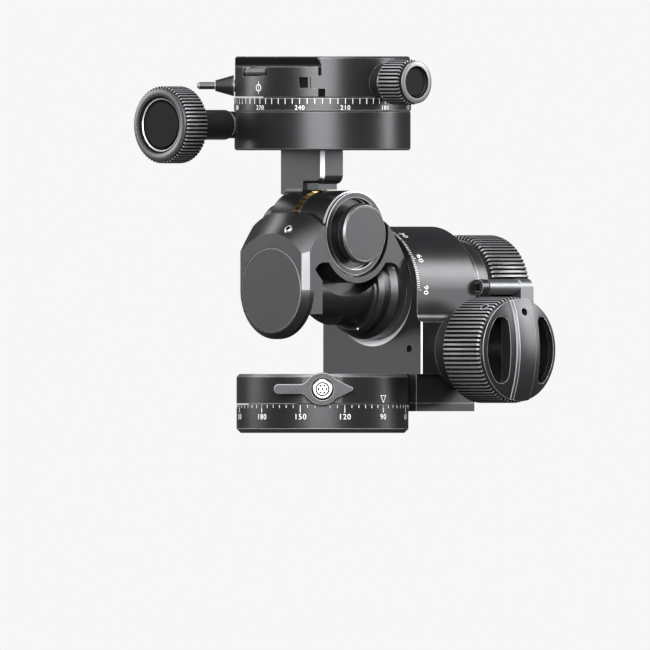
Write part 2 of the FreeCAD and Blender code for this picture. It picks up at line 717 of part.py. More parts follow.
def grip_dome(proud, end):
    """The grip's disc with its domed face raised by proud."""
    rise = GRIP_RISE + proud
    ball_r = (GRIP_R ** 2 + GRIP_RISE ** 2) / (2 * GRIP_RISE)
    ball = Part.makeSphere(ball_r, WORM1_AXIS[0] + ALONG_X * (end + rise - ball_r))
    return rod(WORM1_AXIS, GRIP_R, KNOB1_X1 + SEAM, end + rise).common(ball)


def finger_hole(sign):
    """One of the two holes beside the band: round on its far side, with rounded corners."""
    start = KNOB1_X1 + SEAM - PAST
    end = KNOB1_X1 + SEAM + GRIP_RIM + GRIP_RISE + PAST
    block = box(start, end, BAND_HALF_W, HOLE_FAR + PAST, -HOLE_HALF_H, HOLE_HALF_H)
    if sign < 0:
        block.rotate(ORIGIN, ALONG_X, 180)
    block.translate(WORM1_AXIS[0])
    block = block.common(rod(WORM1_AXIS, HOLE_FAR, start, end))
    corners = [e for e in block.Edges if e.BoundBox.YLength < 0.01 and e.BoundBox.ZLength < 0.01]
    return block.makeFillet(HOLE_CORNER, corners)


def knob_1_grip():
    """Domed disc over the knob, with a raised band between two finger holes."""
    start = KNOB1_X1 + SEAM
    end = start + GRIP_RIM
    body = grip_dome(0, end)
    low = WORM1_AXIS[0] + V(start + EDGE, -BAND_TOP_HALF_W, -GRIP_R)
    size = V(GRIP_RIM + GRIP_RISE + BAND_PROUD, 2 * BAND_TOP_HALF_W, 2 * GRIP_R)
    strip = Part.makeBox(size.x, size.y, size.z, low)
    strip = strip.common(grip_dome(BAND_PROUD, end))
    sides = [e for e in strip.Edges if e.BoundBox.YLength < 0.01 and e.BoundBox.ZLength > GRIP_R
             and e.BoundBox.XMin > start + EDGE + 0.01]
    strip = strip.makeChamfer(BAND_BEVEL, sides)
    body = body.fuse(strip).cut([finger_hole(1), finger_hole(-1)])
    screw_line = (WORM1_AXIS[0] + UP * BAND_SCREW_UP, ALONG_X)
    body = body.cut(rod(screw_line, SETSCREW_R, start - PAST, end + GRIP_RISE + BAND_PROUD))
    return body.fuse(rod(WORM1_AXIS, GRIP_STUB_R, KNOB1_X1 - 2 * CUP_DEPTH + SEAM, start))


# ---- drum 1 -----------------------------------------------------------------------------
def wheel_1_start():
    return WORM1_Y - GEAR_FACE / 2


def drum_1():
    tail_end = HOUSE_Y1 + SEAM + RETAINER_T
    body = turned(AXIS1, [(DRUM_FRONT_Y, 0), (DRUM_FRONT_Y, DRUM_R),
                          (DRUM_FRONT_Y + DRUM_L, DRUM_R), (DRUM_FRONT_Y + DRUM_L, TAIL_R),
                          (tail_end, TAIL_R), (tail_end, 0)])
    body = body.cut(rod(AXIS1, DRUM_BORE_R, DRUM_FRONT_Y - PAST, tail_end + PAST))
    return body.cut(Part.makeCompound(cradle_screw_solids()))


def worm_wheel_1():
    ring = worm_wheel(AXIS1, -UP, TEETH_1, MODULE_TILT, wheel_1_start(), TAIL_R)
    hub_r = MODULE_TILT * (TEETH_1 / 2 - WHEEL_RIM)
    hub = tube(AXIS1, hub_r, TAIL_R, DRUM_FRONT_Y + DRUM_L, wheel_1_start())
    return ring.fuse(hub)


def drum_retainer():
    start = HOUSE_Y1 + SEAM
    return tube(AXIS1, RETAINER_R, TAIL_R, start, start + RETAINER_T)


def worm_2_bush():
    end = HOUSE_Y1 + SEAM + RETAINER_T
    return tube(AXIS1, DRUM_BORE_R, SHAFT_R + RUN, DRUM_FRONT_Y, end)


# ---- cradle -----------------------------------------------------------------------------
def cradle_outline():
    """Round below axis 1, straight sides above it."""
    y = CRADLE_Y0
    w = CRADLE_HALF_W
    left = V(-w, y, AXIS1_Z)
    right = V(w, y, AXIS1_Z)
    bottom = Part.Arc(left, V(0, y, AXIS1_Z - w), right).toShape()
    sides = [Part.makeLine(right, V(w, y, CRADLE_TOP)),
             Part.makeLine(V(w, y, CRADLE_TOP), V(-w, y, CRADLE_TOP)),
             Part.makeLine(V(-w, y, CRADLE_TOP), left)]
    return Part.Face(Part.Wire([bottom] + sides))


def front_rim_edges(shape):
    """The edges of the front face, apart from its flat top."""
    found = []
    for edge in shape.Edges:
        box_ = edge.BoundBox
        on_front = box_.YMax < CRADLE_Y0 + 0.01
        on_top = box_.ZMin > CRADLE_TOP - 0.01
        if on_front and not on_top:
            found.append(edge)
    return found


def cradle_form():
    """The outer shape: the outline pushed back, within a cone at each end."""
    block = cradle_outline().extrude(ALONG_Y * (DRUM_FRONT_Y - CRADLE_Y0))
    block = block.makeChamfer(FACE_CHAMFER, front_rim_edges(block))
    rise = CONE_BIG_R - CONE_SMALL_R
    cones = turned(AXIS1, [(CRADLE_Y0, 0), (CRADLE_Y0, CONE_SMALL_R),
                           (CRADLE_Y0 + rise, CONE_BIG_R), (DRUM_FRONT_Y - rise, CONE_BIG_R),
                           (DRUM_FRONT_Y, CONE_SMALL_R), (DRUM_FRONT_Y, 0)])
    return block.common(cones)


def trough_r():
    return HUB_R + SEAT_GAP


def cradle_core():
    """What stays in the windows below the seat of the yoke: a tube round worm 2."""
    x = CRADLE_HALF_W + PAST
    outline = [(-LEG_X, 0)] + cove(-LEG_X, 1, TUBE_R, TUBE_COVE)[::-1]
    outline += cove(COLLAR1_Y, -1, TUBE_R, TUBE_COVE)
    outline += [(COLLAR1_Y, COLLAR1_R - COLLAR1_CHAMFER), (COLLAR1_Y + COLLAR1_CHAMFER, COLLAR1_R),
                (COLLAR2_Y, COLLAR1_R), (COLLAR2_Y + COLLAR2_CHAMFER, CRADLE_HALF_W),
                (WINDOW_HALF_L, CRADLE_HALF_W), (WINDOW_HALF_L, 0)]
    leg = box(-LEG_X, LEG_X, -WINDOW_HALF_L, -LEG_X, LEG_Z0, AXIS2_Z)
    core = turned(AXIS1, outline).fuse(leg)
    low = AXIS1_Z - CRADLE_HALF_W
    under = [V(-x, -WINDOW_HALF_L, low), V(-x, -WINDOW_HALF_L, LEG_Z0), V(-x, TUBE_RISE_Y, LEG_Z0),
             V(-x, TUBE_RISE_Y + TUBE_COVE, AXIS1_Z - TUBE_R), V(-x, TUBE_RISE_Y + TUBE_COVE, low)]
    saddle = rod(AXIS2, SADDLE_R, SADDLE_X, x).fuse(rod(AXIS2, SADDLE_R, -x, -SADDLE_X))
    keep = rod(AXIS1, CRADLE_HALF_W + PAST, COLLAR1_Y, WINDOW_HALF_L)
    core = core.cut(saddle.cut(keep)).cut(extruded(under, ALONG_X * (2 * x)))
    web = box(-SADDLE_X, SADDLE_X, -COLLAR1_Y, COLLAR1_Y, AXIS1_Z, AXIS2_Z)
    return core.fuse(web)


def cradle_windows():
    """What is cut away below the seat of the yoke, through from side to side."""
    x = CRADLE_HALF_W + PAST
    low = AXIS1_Z - x
    room = box(-x, x, -WINDOW_HALF_L, WINDOW_HALF_L, low, WINDOW_TOP)
    tops = [e for e in room.Edges
            if e.BoundBox.ZMin > WINDOW_TOP - 0.01 and e.BoundBox.YLength < 0.01]
    room = room.makeFillet(WINDOW_R, tops)
    room = room.cut(rod(AXIS2, trough_r() + TROUGH_WALL, -x, x))
    return room.cut(cradle_core())


def cradle():
    side = CRADLE_HALF_W + PAST
    front = CRADLE_Y0 + COVER_T
    body = cradle_form().cut(cradle_windows())
    body = body.cut(rod(AXIS2, trough_r(), HUB_X0 - SEAT_GAP, side))
    body = body.cut(rod(AXIS2, JOURNAL2_R + RUN, -side, 0))
    wheel_tip = MODULE_TILT * (TEETH_2 / 2 + 1) + SEAT_GAP
    wheel_side = GEAR_FACE / 2 + SEAT_GAP
    body = body.cut(rod(AXIS2, wheel_tip, -wheel_side, wheel_side))
    worm_tip = WORM2_R + MODULE_TILT + SEAM
    reach = worm_reach(MODULE_TILT) + SEAM
    body = body.cut(rod(AXIS1, worm_tip, -reach, DRUM_FRONT_Y + PAST))
    body = body.cut(rod(AXIS1, SHAFT_R + RUN, front + WORM2_END_WALL, 0))
    body = body.cut(rod(AXIS1, COVER_R + SHUT, CRADLE_Y0 - PAST, front))
    return body.cut(cone_screw_hole()).cut(Part.makeCompound(cradle_screw_solids()))


def cone_screw_line():
    """Square to the front cone, on the +X side of its top."""
    height = CRADLE_TOP - AXIS1_Z - CONE_SCREW_DOWN
    point = V(CONE_SCREW_X, CRADLE_Y0 + height - CONE_SMALL_R, AXIS1_Z + height)
    return (point, V(0, -1, 1).normalize())


def cone_screw_hole():
    return rod(cone_screw_line(), CONE_SCREW_R, -CONE_SCREW_L, CONE_SCREW_L)


def cradle_setscrew():
    line = cone_screw_line()
    body = rod(line, CONE_SCREW_R, -CONE_SCREW_L, -CONE_SCREW_SINK)
    return body.cut(socket(line, KEY_R, KEY_DEPTH, -CONE_SCREW_SINK))


def front_cover():
    return disc(AXIS1, COVER_R, CRADLE_Y0, CRADLE_Y0 + COVER_T, SHUT, BREAK / 2)


def cradle_screw_lines():
    """Four screws through the rear of the cradle into the drum."""
    lines = []
    for i in range(4):
        angle = math.radians(45 + 90 * i)
        spoke = V(math.cos(angle), 0, math.sin(angle)) * CRADLE_SCREW_OUT
        lines.append((AXIS1[0] + spoke, ALONG_Y))
    return lines


def cradle_screw_solids():
    start = COLLAR2_Y + CRADLE_SCREW_HEAD
    end = DRUM_FRONT_Y + CRADLE_SCREW_BITE
    return [rod(line, CRADLE_SCREW_R, start, end) for line in cradle_screw_lines()]


def cradle_screws():
    return Part.makeCompound(cradle_screw_solids())


# ---- worm 2 and knob 2 ------------------------------------------------------------------
def worm_2():
    start = CRADLE_Y0 + COVER_T + WORM2_END_WALL + SEAM
    return worm(AXIS1, UP, WORM2_R, MODULE_TILT, (SHAFT_R, start, KNOB2_Y0 + KNOB2_L / 2))


def knob_2():
    end = KNOB2_Y0 + KNOB2_L
    grip = fluted(AXIS1, KNOB2_R, KNOB2_Y0, end, KNOB2_FLUTES, EDGE)
    grip = grip.cut(rod(AXIS1, KNOB2_R - RING_W, end - 2 * INSERT_SINK, end + PAST))
    return grip.cut(rod(AXIS1, SHAFT_R, KNOB2_Y0 - PAST, KNOB2_Y0 + KNOB2_L / 2))


def knob_2_insert():
    end = KNOB2_Y0 + KNOB2_L
    radius = KNOB2_R - RING_W - SHUT
    return disc(AXIS1, radius, end - 2 * INSERT_SINK, end - INSERT_SINK / 2, BREAK / 2, EDGE / 2)


# ---- tilt lock --------------------------------------------------------------------------
def tilt_lock_rod():
    start = HOUSE_Y1 + TILT_LUG_T + SEAM
    body = rod(TILT_LOCK_AXIS, TILT_LOCK_R, start, TILT_LOCK_Y1)
    return body.fuse(rod(TILT_LOCK_AXIS, TILT_PIN_R, HOUSE_Y1, start))


def tilt_lock_tab():
    end = TILT_LOCK_Y1 + TILT_TAB_L
    low = TILT_LOCK_Z - TILT_TAB_DROP
    head = disc(TILT_LOCK_AXIS, TILT_TAB_R, TILT_LOCK_Y1, end, EDGE / 2)
    leg = box(TILT_LOCK_X - TILT_TAB_IN, TILT_LOCK_X + TILT_TAB_R, TILT_LOCK_Y1, end,
              low, TILT_LOCK_Z)
    edges = [e for e in leg.Edges if e.BoundBox.ZMax < low + 0.01]
    return head.fuse(leg.makeFillet(EDGE, edges))


# ---- yoke -------------------------------------------------------------------------------
def worm_relief():
    """Sector cut away round axis 2 where the thread of worm 2 passes the hub."""
    half_x = WORM2_R + MODULE_TILT + RELIEF_CLEAR
    depth_r = AXIS2_Z - AXIS1_Z - half_x
    ring = tube(AXIS2, HUB_R + PAST, depth_r, -half_x, half_x)
    reach = HUB_R + 2 * PAST
    a = math.radians(RELIEF_HALF_DEG)
    corners = [AXIS2[0] + ALONG_X * (-half_x),
               AXIS2[0] + V(-half_x, -2 * reach * math.sin(a), -2 * reach * math.cos(a)),
               AXIS2[0] + V(-half_x, 0, -4 * reach),
               AXIS2[0] + V(-half_x, 2 * reach * math.sin(a), -2 * reach * math.cos(a))]
    return ring.common(extruded(corners, ALONG_X * (2 * half_x)))


def yoke_stem():
    """Stem: its -X part runs down to the hub, its +X part ends in a round step above it."""
    w = STEM_HALF_W
    inner = box(STEM_X0, STEM_STEP_X, -w, w, AXIS2_Z + HUB_R / 2, ROTATOR_Z0)
    over = box(STEM_STEP_X, STEM_X1, -w, w, STEM_STEP_Z, ROTATOR_Z0)
    lower = [e for e in over.Edges
             if e.BoundBox.ZMax < STEM_STEP_Z + 0.01 and e.BoundBox.XMin > STEM_X1 - 0.01]
    over = over.makeFillet(STEM_STEP_R, lower)
    stem = inner.fuse(over).removeSplitter()
    corner = [e for e in stem.Edges if abs(e.BoundBox.XMax - STEM_X1) < 0.01
              and e.BoundBox.ZLength > STEM_STEP_R and e.BoundBox.XLength < 0.01
              and e.BoundBox.YLength < 0.01]
    stem = stem.makeChamfer(STEM_CHAMFER, corner)
    w = w + PAST
    overhang = box(STEM_X0 - PAST, HUB_X0, -w, w, 0, stem_foot_z())
    return stem.cut(overhang)


def stem_foot_z():
    """Underside of the part of the stem that stands out past the hub."""
    return AXIS2_Z + HUB_R - STEM_DROP


def stem_fillets():
    """Concave fillets between the faces of the stem and the hub, along X."""
    centre_y = STEM_HALF_W + STEM_FILLET
    centre_z = AXIS2_Z + math.sqrt((HUB_R + STEM_FILLET) ** 2 - centre_y ** 2)
    touch_y = centre_y * HUB_R / (HUB_R + STEM_FILLET)
    foot_z = AXIS2_Z + math.sqrt(HUB_R ** 2 - centre_y ** 2)
    pieces = []
    for sign in (1, -1):
        y0, y1 = sorted((sign * STEM_HALF_W, sign * touch_y))
        block = box(HUB_X0, STEM_STEP_X, y0, y1, foot_z, centre_z)
        line = (V(0, sign * centre_y, centre_z), ALONG_X)
        pieces.append(block.cut(rod(line, STEM_FILLET, HUB_X0 - PAST, STEM_STEP_X + PAST)))
    return pieces


def yoke():
    clear = AXIS2_Z + HUB_R + SEAM
    w = STEM_HALF_W - PAD_IN
    hub = rod(AXIS2, HUB_R, HUB_X0, -GEAR_FACE / 2)
    journal = rod(AXIS2, JOURNAL2_R, HUB_X0 - JOURNAL2_L, HUB_X0)
    pad = box(STEM_STEP_X - PAST, STEM_X1 - STEM_STEP_R, -w, w, clear, STEM_STEP_Z + PAST)
    body = hub.fuse([journal, yoke_stem(), pad] + stem_fillets())
    past_wheel = box(-GEAR_FACE / 2, STEM_X1, -STEM_HALF_W, STEM_HALF_W, AXIS2_Z, clear)
    body = body.cut(past_wheel).removeSplitter()
    body = body.cut(rod(AXIS2, AXLE_R, HUB_X0 - JOURNAL2_L - PAST, HUB_R))
    top = ROTATOR_Z0 + PAST
    screw = rod((V(STEM_SCREW_X, 0, 0), UP), STEM_SCREW_R, ROTATOR_Z0 - STUD_L, top)
    stud = rod(PAN_AXIS, STUD_R, ROTATOR_Z0 - POST_STUD_L, top)
    return body.cut([worm_relief(), screw, stud])


def worm_wheel_2():
    return worm_wheel(AXIS2, -UP, TEETH_2, MODULE_TILT, -GEAR_FACE / 2, AXLE_R)


def yoke_drum():
    body = rod(AXIS2, HUB_R, GEAR_FACE / 2, DRUM2_X1)
    end = DRUM2_X1 + FLANGE2_L
    body = body.fuse(rod(AXIS2, FLANGE2_R, DRUM2_X1, end))
    body = body.cut(rod(AXIS2, FLANGE2_BORE_R, end - FLANGE2_SINK, end + PAST))
    return body.cut(rod(AXIS2, AXLE_R, 0, end)).cut(worm_relief())


def yoke_axle():
    return rod(AXIS2, AXLE_R, HUB_X0 - JOURNAL2_L, DRUM2_X1 + FLANGE2_L - FLANGE2_SINK)


def axle_cap(sign):
    """Round cap with a neck, and a shallow groove round its inner disc."""
    start = DRUM2_X1 + FLANGE2_L - FLANGE2_SINK
    if sign < 0:
        start = JOURNAL2_L - HUB_X0
    line = (AXIS2[0], ALONG_X * sign)
    end = CAP_X + CAP_T
    body = turned(line, [(start, 0), (start, CAP_NECK_R), (CAP_X, CAP_NECK_R), (CAP_X, CAP_R - EDGE),
                         (CAP_X + EDGE, CAP_R), (end - EDGE, CAP_R), (end, CAP_R - EDGE), (end, 0)])
    return body.cut(tube(line, CAP_DISC_R, CAP_DISC_R - SHUT, end - SHUT, end + PAST))


# ---- rotator ----------------------------------------------------------------------------
def wheel3_z():
    return WORM3_Z - GEAR_FACE / 2


def worm3_chamber():
    return WORM3_R + MODULE_TURN + SEAM


def wheel3_room():
    return MODULE_TURN * (TEETH_3 / 2 + 1) + SEAM


def rotator_base():
    body = disc(PAN_AXIS, ROTATOR_R, ROTATOR_Z0, ROTATOR_TOP, EDGE, ROTATOR_RIM)
    body = body.cut(rod(PAN_AXIS, wheel3_room(), ROTATOR_Z0 + PLATE_T, ROTATOR_TOP + PAST))
    end = worm_reach(MODULE_TURN) + WORM3_END_GAP
    body = body.cut(rod(WORM3_AXIS, worm3_chamber(), -ROTATOR_R, end))
    body = body.cut(stem_screw_solid())
    return body.cut(rod(PAN_AXIS, STUD_R, ROTATOR_Z0 - PAST, ROTATOR_TOP))


def stem_screw_solid():
    line = (V(STEM_SCREW_X, 0, 0), UP)
    top = ROTATOR_Z0 + PLATE_T
    shank = rod(line, STEM_SCREW_R, ROTATOR_Z0 - STUD_L, top - STEM_SCREW_HEAD_H)
    return shank.fuse(rod(line, STEM_SCREW_HEAD_R, top - STEM_SCREW_HEAD_H, top))


def stem_screw():
    line = (V(STEM_SCREW_X, 0, 0), UP)
    return stem_screw_solid().cut(socket(line, TORX_R, TORX_DEPTH, ROTATOR_Z0 + PLATE_T))


def scale_ring():
    body = disc(PAN_AXIS, SCALE_R, ROTATOR_TOP, SCALE_TOP, SCALE_RIM)
    return body.cut(rod(PAN_AXIS, HUB3_R + RUN, ROTATOR_TOP - PAST, SCALE_TOP + PAST))


def rotator_post():
    top = post_nut_z() + POST_NUT_H
    post = rod(PAN_AXIS, POST_R, ROTATOR_Z0 + PLATE_T, top)
    return post.fuse(rod(PAN_AXIS, STUD_R, ROTATOR_Z0 - POST_STUD_L, ROTATOR_Z0 + PLATE_T))


def post_nut_z():
    return CLAMP_Z0 - SEAM - POST_NUT_H


def rotator_nut():
    z = post_nut_z()
    return tube(PAN_AXIS, POST_NUT_R, POST_R, z, z + POST_NUT_H)


def wheel3_bore():
    return MODULE_TURN * (TEETH_3 / 2 - WHEEL3_RIM)


def rotator_hub():
    """Journal that carries the clamp and the worm wheel."""
    shoulder = ROTATOR_TOP + SEAM
    body = rod(PAN_AXIS, HUB3_R, shoulder, CLAMP_Z0)
    body = body.fuse(rod(PAN_AXIS, wheel3_bore(), wheel3_z(), shoulder))
    body = body.cut(rod(PAN_AXIS, POST_R + RUN, ROTATOR_Z0, CLAMP_Z0 + PAST))
    return body.cut(rod(PAN_AXIS, POST_NUT_R + SEAM, post_nut_z() - SEAM, CLAMP_Z0 + PAST))


def worm_wheel_3():
    return worm_wheel(PAN_AXIS, -ALONG_X, TEETH_3, MODULE_TURN, wheel3_z(), wheel3_bore())


def worm_3():
    shaft = (SHAFT3_R, KNOB3_Y0 - KNOB3_L / 2, worm_reach(MODULE_TURN) + WORM3_TAIL)
    return worm(WORM3_AXIS, ALONG_X, WORM3_R, MODULE_TURN, shaft)


def worm_3_sleeve():
    """Fixed sleeve that carries the worm out of the body to its knob."""
    end = KNOB3_Y0 + SEAM
    outline = [(end, 0), (end, SLEEVE_BIG_R - EDGE / 2), (end + EDGE / 2, SLEEVE_BIG_R),
               (SLEEVE_STEP_Y - EDGE, SLEEVE_BIG_R), (SLEEVE_STEP_Y, worm3_chamber()),
               (-worm_reach(MODULE_TURN) - SEAM, worm3_chamber()),
               (-worm_reach(MODULE_TURN) - SEAM, 0)]
    body = turned(WORM3_AXIS, outline).cut(rod(WORM3_AXIS, SHAFT3_R + RUN, end - PAST, 0))
    return body.cut(rod(PAN_AXIS, wheel3_room(), ROTATOR_Z0, ROTATOR_TOP))


def rotator_knob():
    start = KNOB3_Y0 - KNOB3_L
    grip = fluted(WORM3_AXIS, KNOB3_R, start, KNOB3_Y0, KNOB3_FLUTES, EDGE)
    grip = grip.cut(turned(WORM3_AXIS, [(start - PAST, 0), (start - PAST, KNOB3_RING_R + PAST),
                                        (start + 2 * INSERT_SINK, KNOB3_INSERT_R),
                                        (start + 2 * INSERT_SINK, 0)]))
    return grip.cut(rod(WORM3_AXIS, SHAFT3_R, KNOB3_Y0 - KNOB3_L / 2, KNOB3_Y0 + PAST))


def rotator_knob_insert():
    start = KNOB3_Y0 - KNOB3_L
    end = start + 2 * INSERT_SINK
    return disc(WORM3_AXIS, KNOB3_INSERT_R, start + INSERT_SINK, end, SHUT, BREAK / 2)


# ---- clamp ------------------------------------------------------------------------------
def channel():
    """Room for a dovetail plate, along Y, as a tool to cut with."""
    f = PLATE_HALF_W
    t = LIP_HALF_W
    z0 = CLAMP_FLOOR
    z1 = z0 + FOOT_H
    z2 = CLAMP_TOP - LIP_H
    z3 = CLAMP_TOP + PAST
    y = -CLAMP_R - PAST
    side = [(f, z0), (f, z1), (t, z2), (t, z3)]
    corners = [V(x, y, z) for x, z in side] + [V(-x, y, z) for x, z in reversed(side)]
    return extruded(corners, ALONG_Y * (-2 * y))


def jaw_slot():
    """What the moving jaw needs cut out of the fixed part of the clamp."""
    far = CLAMP_R + PAST
    tongue_end = JAW_TONGUE_X - SEAM
    z0 = JAW_TONGUE_Z
    z1 = z0 + JAW_TONGUE_H
    body = box(JAW_SPLIT_X, far, -far, far, CLAMP_Z0 - PAST, CLAMP_TOP + PAST)
    tongue = box(tongue_end, far, -far, far, z0 - RUN, z1 + RUN)
    lip = box(0, far, -far, far, CLAMP_FLOOR, CLAMP_TOP + PAST)
    return body.fuse([tongue, lip])


def jaw_form():
    """Block that the moving jaw is turned from."""
    far = CLAMP_R + PAST
    z0 = JAW_TONGUE_Z
    z1 = z0 + JAW_TONGUE_H
    low = box(JAW_LOW_X, far, -far, far, CLAMP_Z0 - PAST, z0)
    tongue = box(JAW_TONGUE_X, far, -far, far, z0, z1)
    high = box(PLATE_HALF_W, far, -far, far, z1, CLAMP_FLOOR)
    lip = box(0, far, -far, far, CLAMP_FLOOR, CLAMP_TOP + PAST)
    return low.fuse([tongue, high, lip])


def clamp_drum():
    return disc(PAN_AXIS, CLAMP_R, CLAMP_Z0, CLAMP_TOP, BREAK, EDGE)


def guide_lines():
    return [(V(0, sign * GUIDE_Y, GUIDE_Z), ALONG_X) for sign in (1, -1)]


def clamp_base():
    body = clamp_drum().cut(channel()).cut(jaw_slot())
    body = body.cut(rod(CLAMP_SCREW_AXIS, CLAMP_SCREW_R + RUN, CLAMP_SCREW_X0 - SEAM, CLAMP_R))
    for line in guide_lines():
        body = body.cut(rod(line, GUIDE_R, GUIDE_X0, CLAMP_R))
    body = body.cut(level_pocket()).cut(clamp_pocket())
    bore = rod(TURN_LOCK_AXIS, TURN_SCREW_R + RUN, TURN_SCREW_END - SEAM, CLAMP_R + PAST)
    return body.cut(bore)


def level_line():
    return (V(LEVEL_X, LEVEL_Y, CLAMP_FLOOR - LEVEL_R - LEVEL_SINK), ALONG_X)


def level_pocket():
    x0 = LEVEL_X - LEVEL_L / 2 - LEVEL_PLAY
    x1 = LEVEL_X + LEVEL_L / 2 + LEVEL_PLAY
    low = CLAMP_FLOOR - 2 * LEVEL_R - 2 * LEVEL_SINK
    back = LEVEL_Y + LEVEL_DEPTH / 2
    return box(x0, x1, -CLAMP_R - PAST, back, low, CLAMP_FLOOR + PAST)


def level_vial():
    half = LEVEL_L / 2 - LEVEL_END_L
    return rod(level_line(), LEVEL_R, -half, half)


def level_ends():
    half = LEVEL_L / 2
    big = LEVEL_R + BREAK
    ends = [rod(level_line(), big, -half, -half + LEVEL_END_L),
            rod(level_line(), big, half - LEVEL_END_L, half)]
    return Part.makeCompound(ends)


def clamp_pocket():
    """Small square pocket in the side of the clamp."""
    z0 = CLAMP_Z0 + POCKET_RISE
    half = POCKET_W / 2
    pocket = box(-half, half, -CLAMP_R - PAST, -CLAMP_R + POCKET_DEPTH, z0, z0 + POCKET_H)
    pocket.rotate(ORIGIN, UP, 90 + POCKET_DEG)
    return pocket


def guide_pins():
    return Part.makeCompound([rod(line, GUIDE_R, GUIDE_X0, GUIDE_X1) for line in guide_lines()])


def clamp_jaw():
    far = 2 * CLAMP_R
    body = clamp_drum().cut(channel()).common(jaw_form())
    body = body.cut(box(-far, 0, -far, far, 0, CLAMP_TOP + PAST))
    body = body.fuse(disc(CLAMP_SCREW_AXIS, JAW_BOSS_R, JAW_LOW_X, JAW_BOSS_X, BREAK, EDGE))
    body = body.cut(box(0, far, -far, far, 0, CLAMP_Z0))
    body = body.cut(rod(CLAMP_SCREW_AXIS, CLAMP_SCREW_R + RUN, 0, JAW_BOSS_X + PAST))
    for line in guide_lines():
        body = body.cut(rod(line, GUIDE_R + RUN, 0, GUIDE_X1 + SEAM))
    return body


def clamp_screw():
    return rod(CLAMP_SCREW_AXIS, CLAMP_SCREW_R, CLAMP_SCREW_X0, CLAMP_KNOB_X0 + CLAMP_KNOB_L / 2)


def clamp_knob():
    end = CLAMP_KNOB_X0 + CLAMP_KNOB_L
    sunk = end - 2 * INSERT_SINK
    grip = fluted(CLAMP_SCREW_AXIS, CLAMP_KNOB_R, CLAMP_KNOB_X0, end, CLAMP_KNOB_FLUTES, EDGE)
    grip = grip.cut(turned(CLAMP_SCREW_AXIS, [(end + PAST, 0), (end + PAST, CLAMP_RING_R + PAST),
                                              (sunk, CLAMP_INSERT_R), (sunk, 0)]))
    return grip.cut(rod(CLAMP_SCREW_AXIS, CLAMP_SCREW_R, 0, CLAMP_KNOB_X0 + CLAMP_KNOB_L / 2))


def clamp_knob_insert():
    end = CLAMP_KNOB_X0 + CLAMP_KNOB_L
    start = end - 2 * INSERT_SINK
    return disc(CLAMP_SCREW_AXIS, CLAMP_INSERT_R, start, end - INSERT_SINK, BREAK / 2, SHUT)


def rotator_lock():
    """Lock screw: a slim round handle, a collar and a cone towards the clamp."""
    start = CLAMP_R + SEAM
    collar = start + TURN_CONE_L
    end = collar + TURN_BAR_L
    outline = [(TURN_SCREW_END, 0), (TURN_SCREW_END, TURN_SCREW_R), (start, TURN_SCREW_R),
               (start, TURN_CONE_BIG_R), (collar, TURN_CONE_SMALL_R), (collar, TURN_BAR_R),
               (end - EDGE, TURN_BAR_R), (end, TURN_BAR_R - EDGE), (end, 0)]
    return turned(TURN_LOCK_AXIS, outline)


# ---- all parts --------------------------------------------------------------------------
NODES = {
    "base_ring": base_ring, "pan_spindle": pan_spindle, "tripod_bush": tripod_bush,
    "pan_nut": pan_nut, "thrust_washer": thrust_washer,
    "pan_body": pan_body, "pan_bush": pan_bush, "pan_cap": pan_cap,
    "pan_lever": pan_lever, "pan_lever_screw": pan_lever_screw,
    "tilt_housing": tilt_housing, "bottom_cover": bottom_cover, "cover_screws": cover_screws,
    "rear_cover": rear_cover, "worm_1_carrier": worm_1_carrier, "worm_1_bush": worm_1_bush,
    "worm_1": worm_1, "knob_1": knob_1, "knob_1_grip": knob_1_grip,
    "tilt_lock_rod": tilt_lock_rod, "tilt_lock_tab": tilt_lock_tab,
    "drum_1": drum_1, "worm_wheel_1": worm_wheel_1, "drum_retainer": drum_retainer,
    "worm_2_bush": worm_2_bush, "cradle": cradle, "front_cover": front_cover,
    "cradle_screws": cradle_screws, "cradle_setscrew": cradle_setscrew,
    "worm_2": worm_2, "knob_2": knob_2, "knob_2_insert": knob_2_insert,
    "yoke": yoke, "worm_wheel_2": worm_wheel_2, "yoke_drum": yoke_drum, "yoke_axle": yoke_axle,
    "axle_cap_right": lambda: axle_cap(1), "axle_cap_left": lambda: axle_cap(-1),
    "rotator_base": rotator_base, "stem_screw": stem_screw, "scale_ring": scale_ring,
    "rotator_post": rotator_post, "rotator_nut": rotator_nut, "worm_3_sleeve": worm_3_sleeve,
    "worm_3": worm_3, "rotator_knob": rotator_knob, "rotator_knob_insert": rotator_knob_insert,
    "rotator_hub": rotator_hub, "worm_wheel_3": worm_wheel_3, "clamp_base": clamp_base,
    "level_vial": level_vial, "level_ends": level_ends, "guide_pins": guide_pins,
    "rotator_lock": rotator_lock, "clamp_jaw": clamp_jaw, "clamp_screw": clamp_screw,
    "clamp_knob": clamp_knob, "clamp_knob_insert": clamp_knob_insert,
}

os.makedirs("parts", exist_ok=True)
for name, make in NODES.items():
    shape = make()
    shape.exportStep("parts/" + name + ".step")
    print(name, len(shape.Solids), round(shape.Volume, 2), shape.isValid())
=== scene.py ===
import bpy
import bmesh
import json
import math
from mathutils import Matrix, Vector


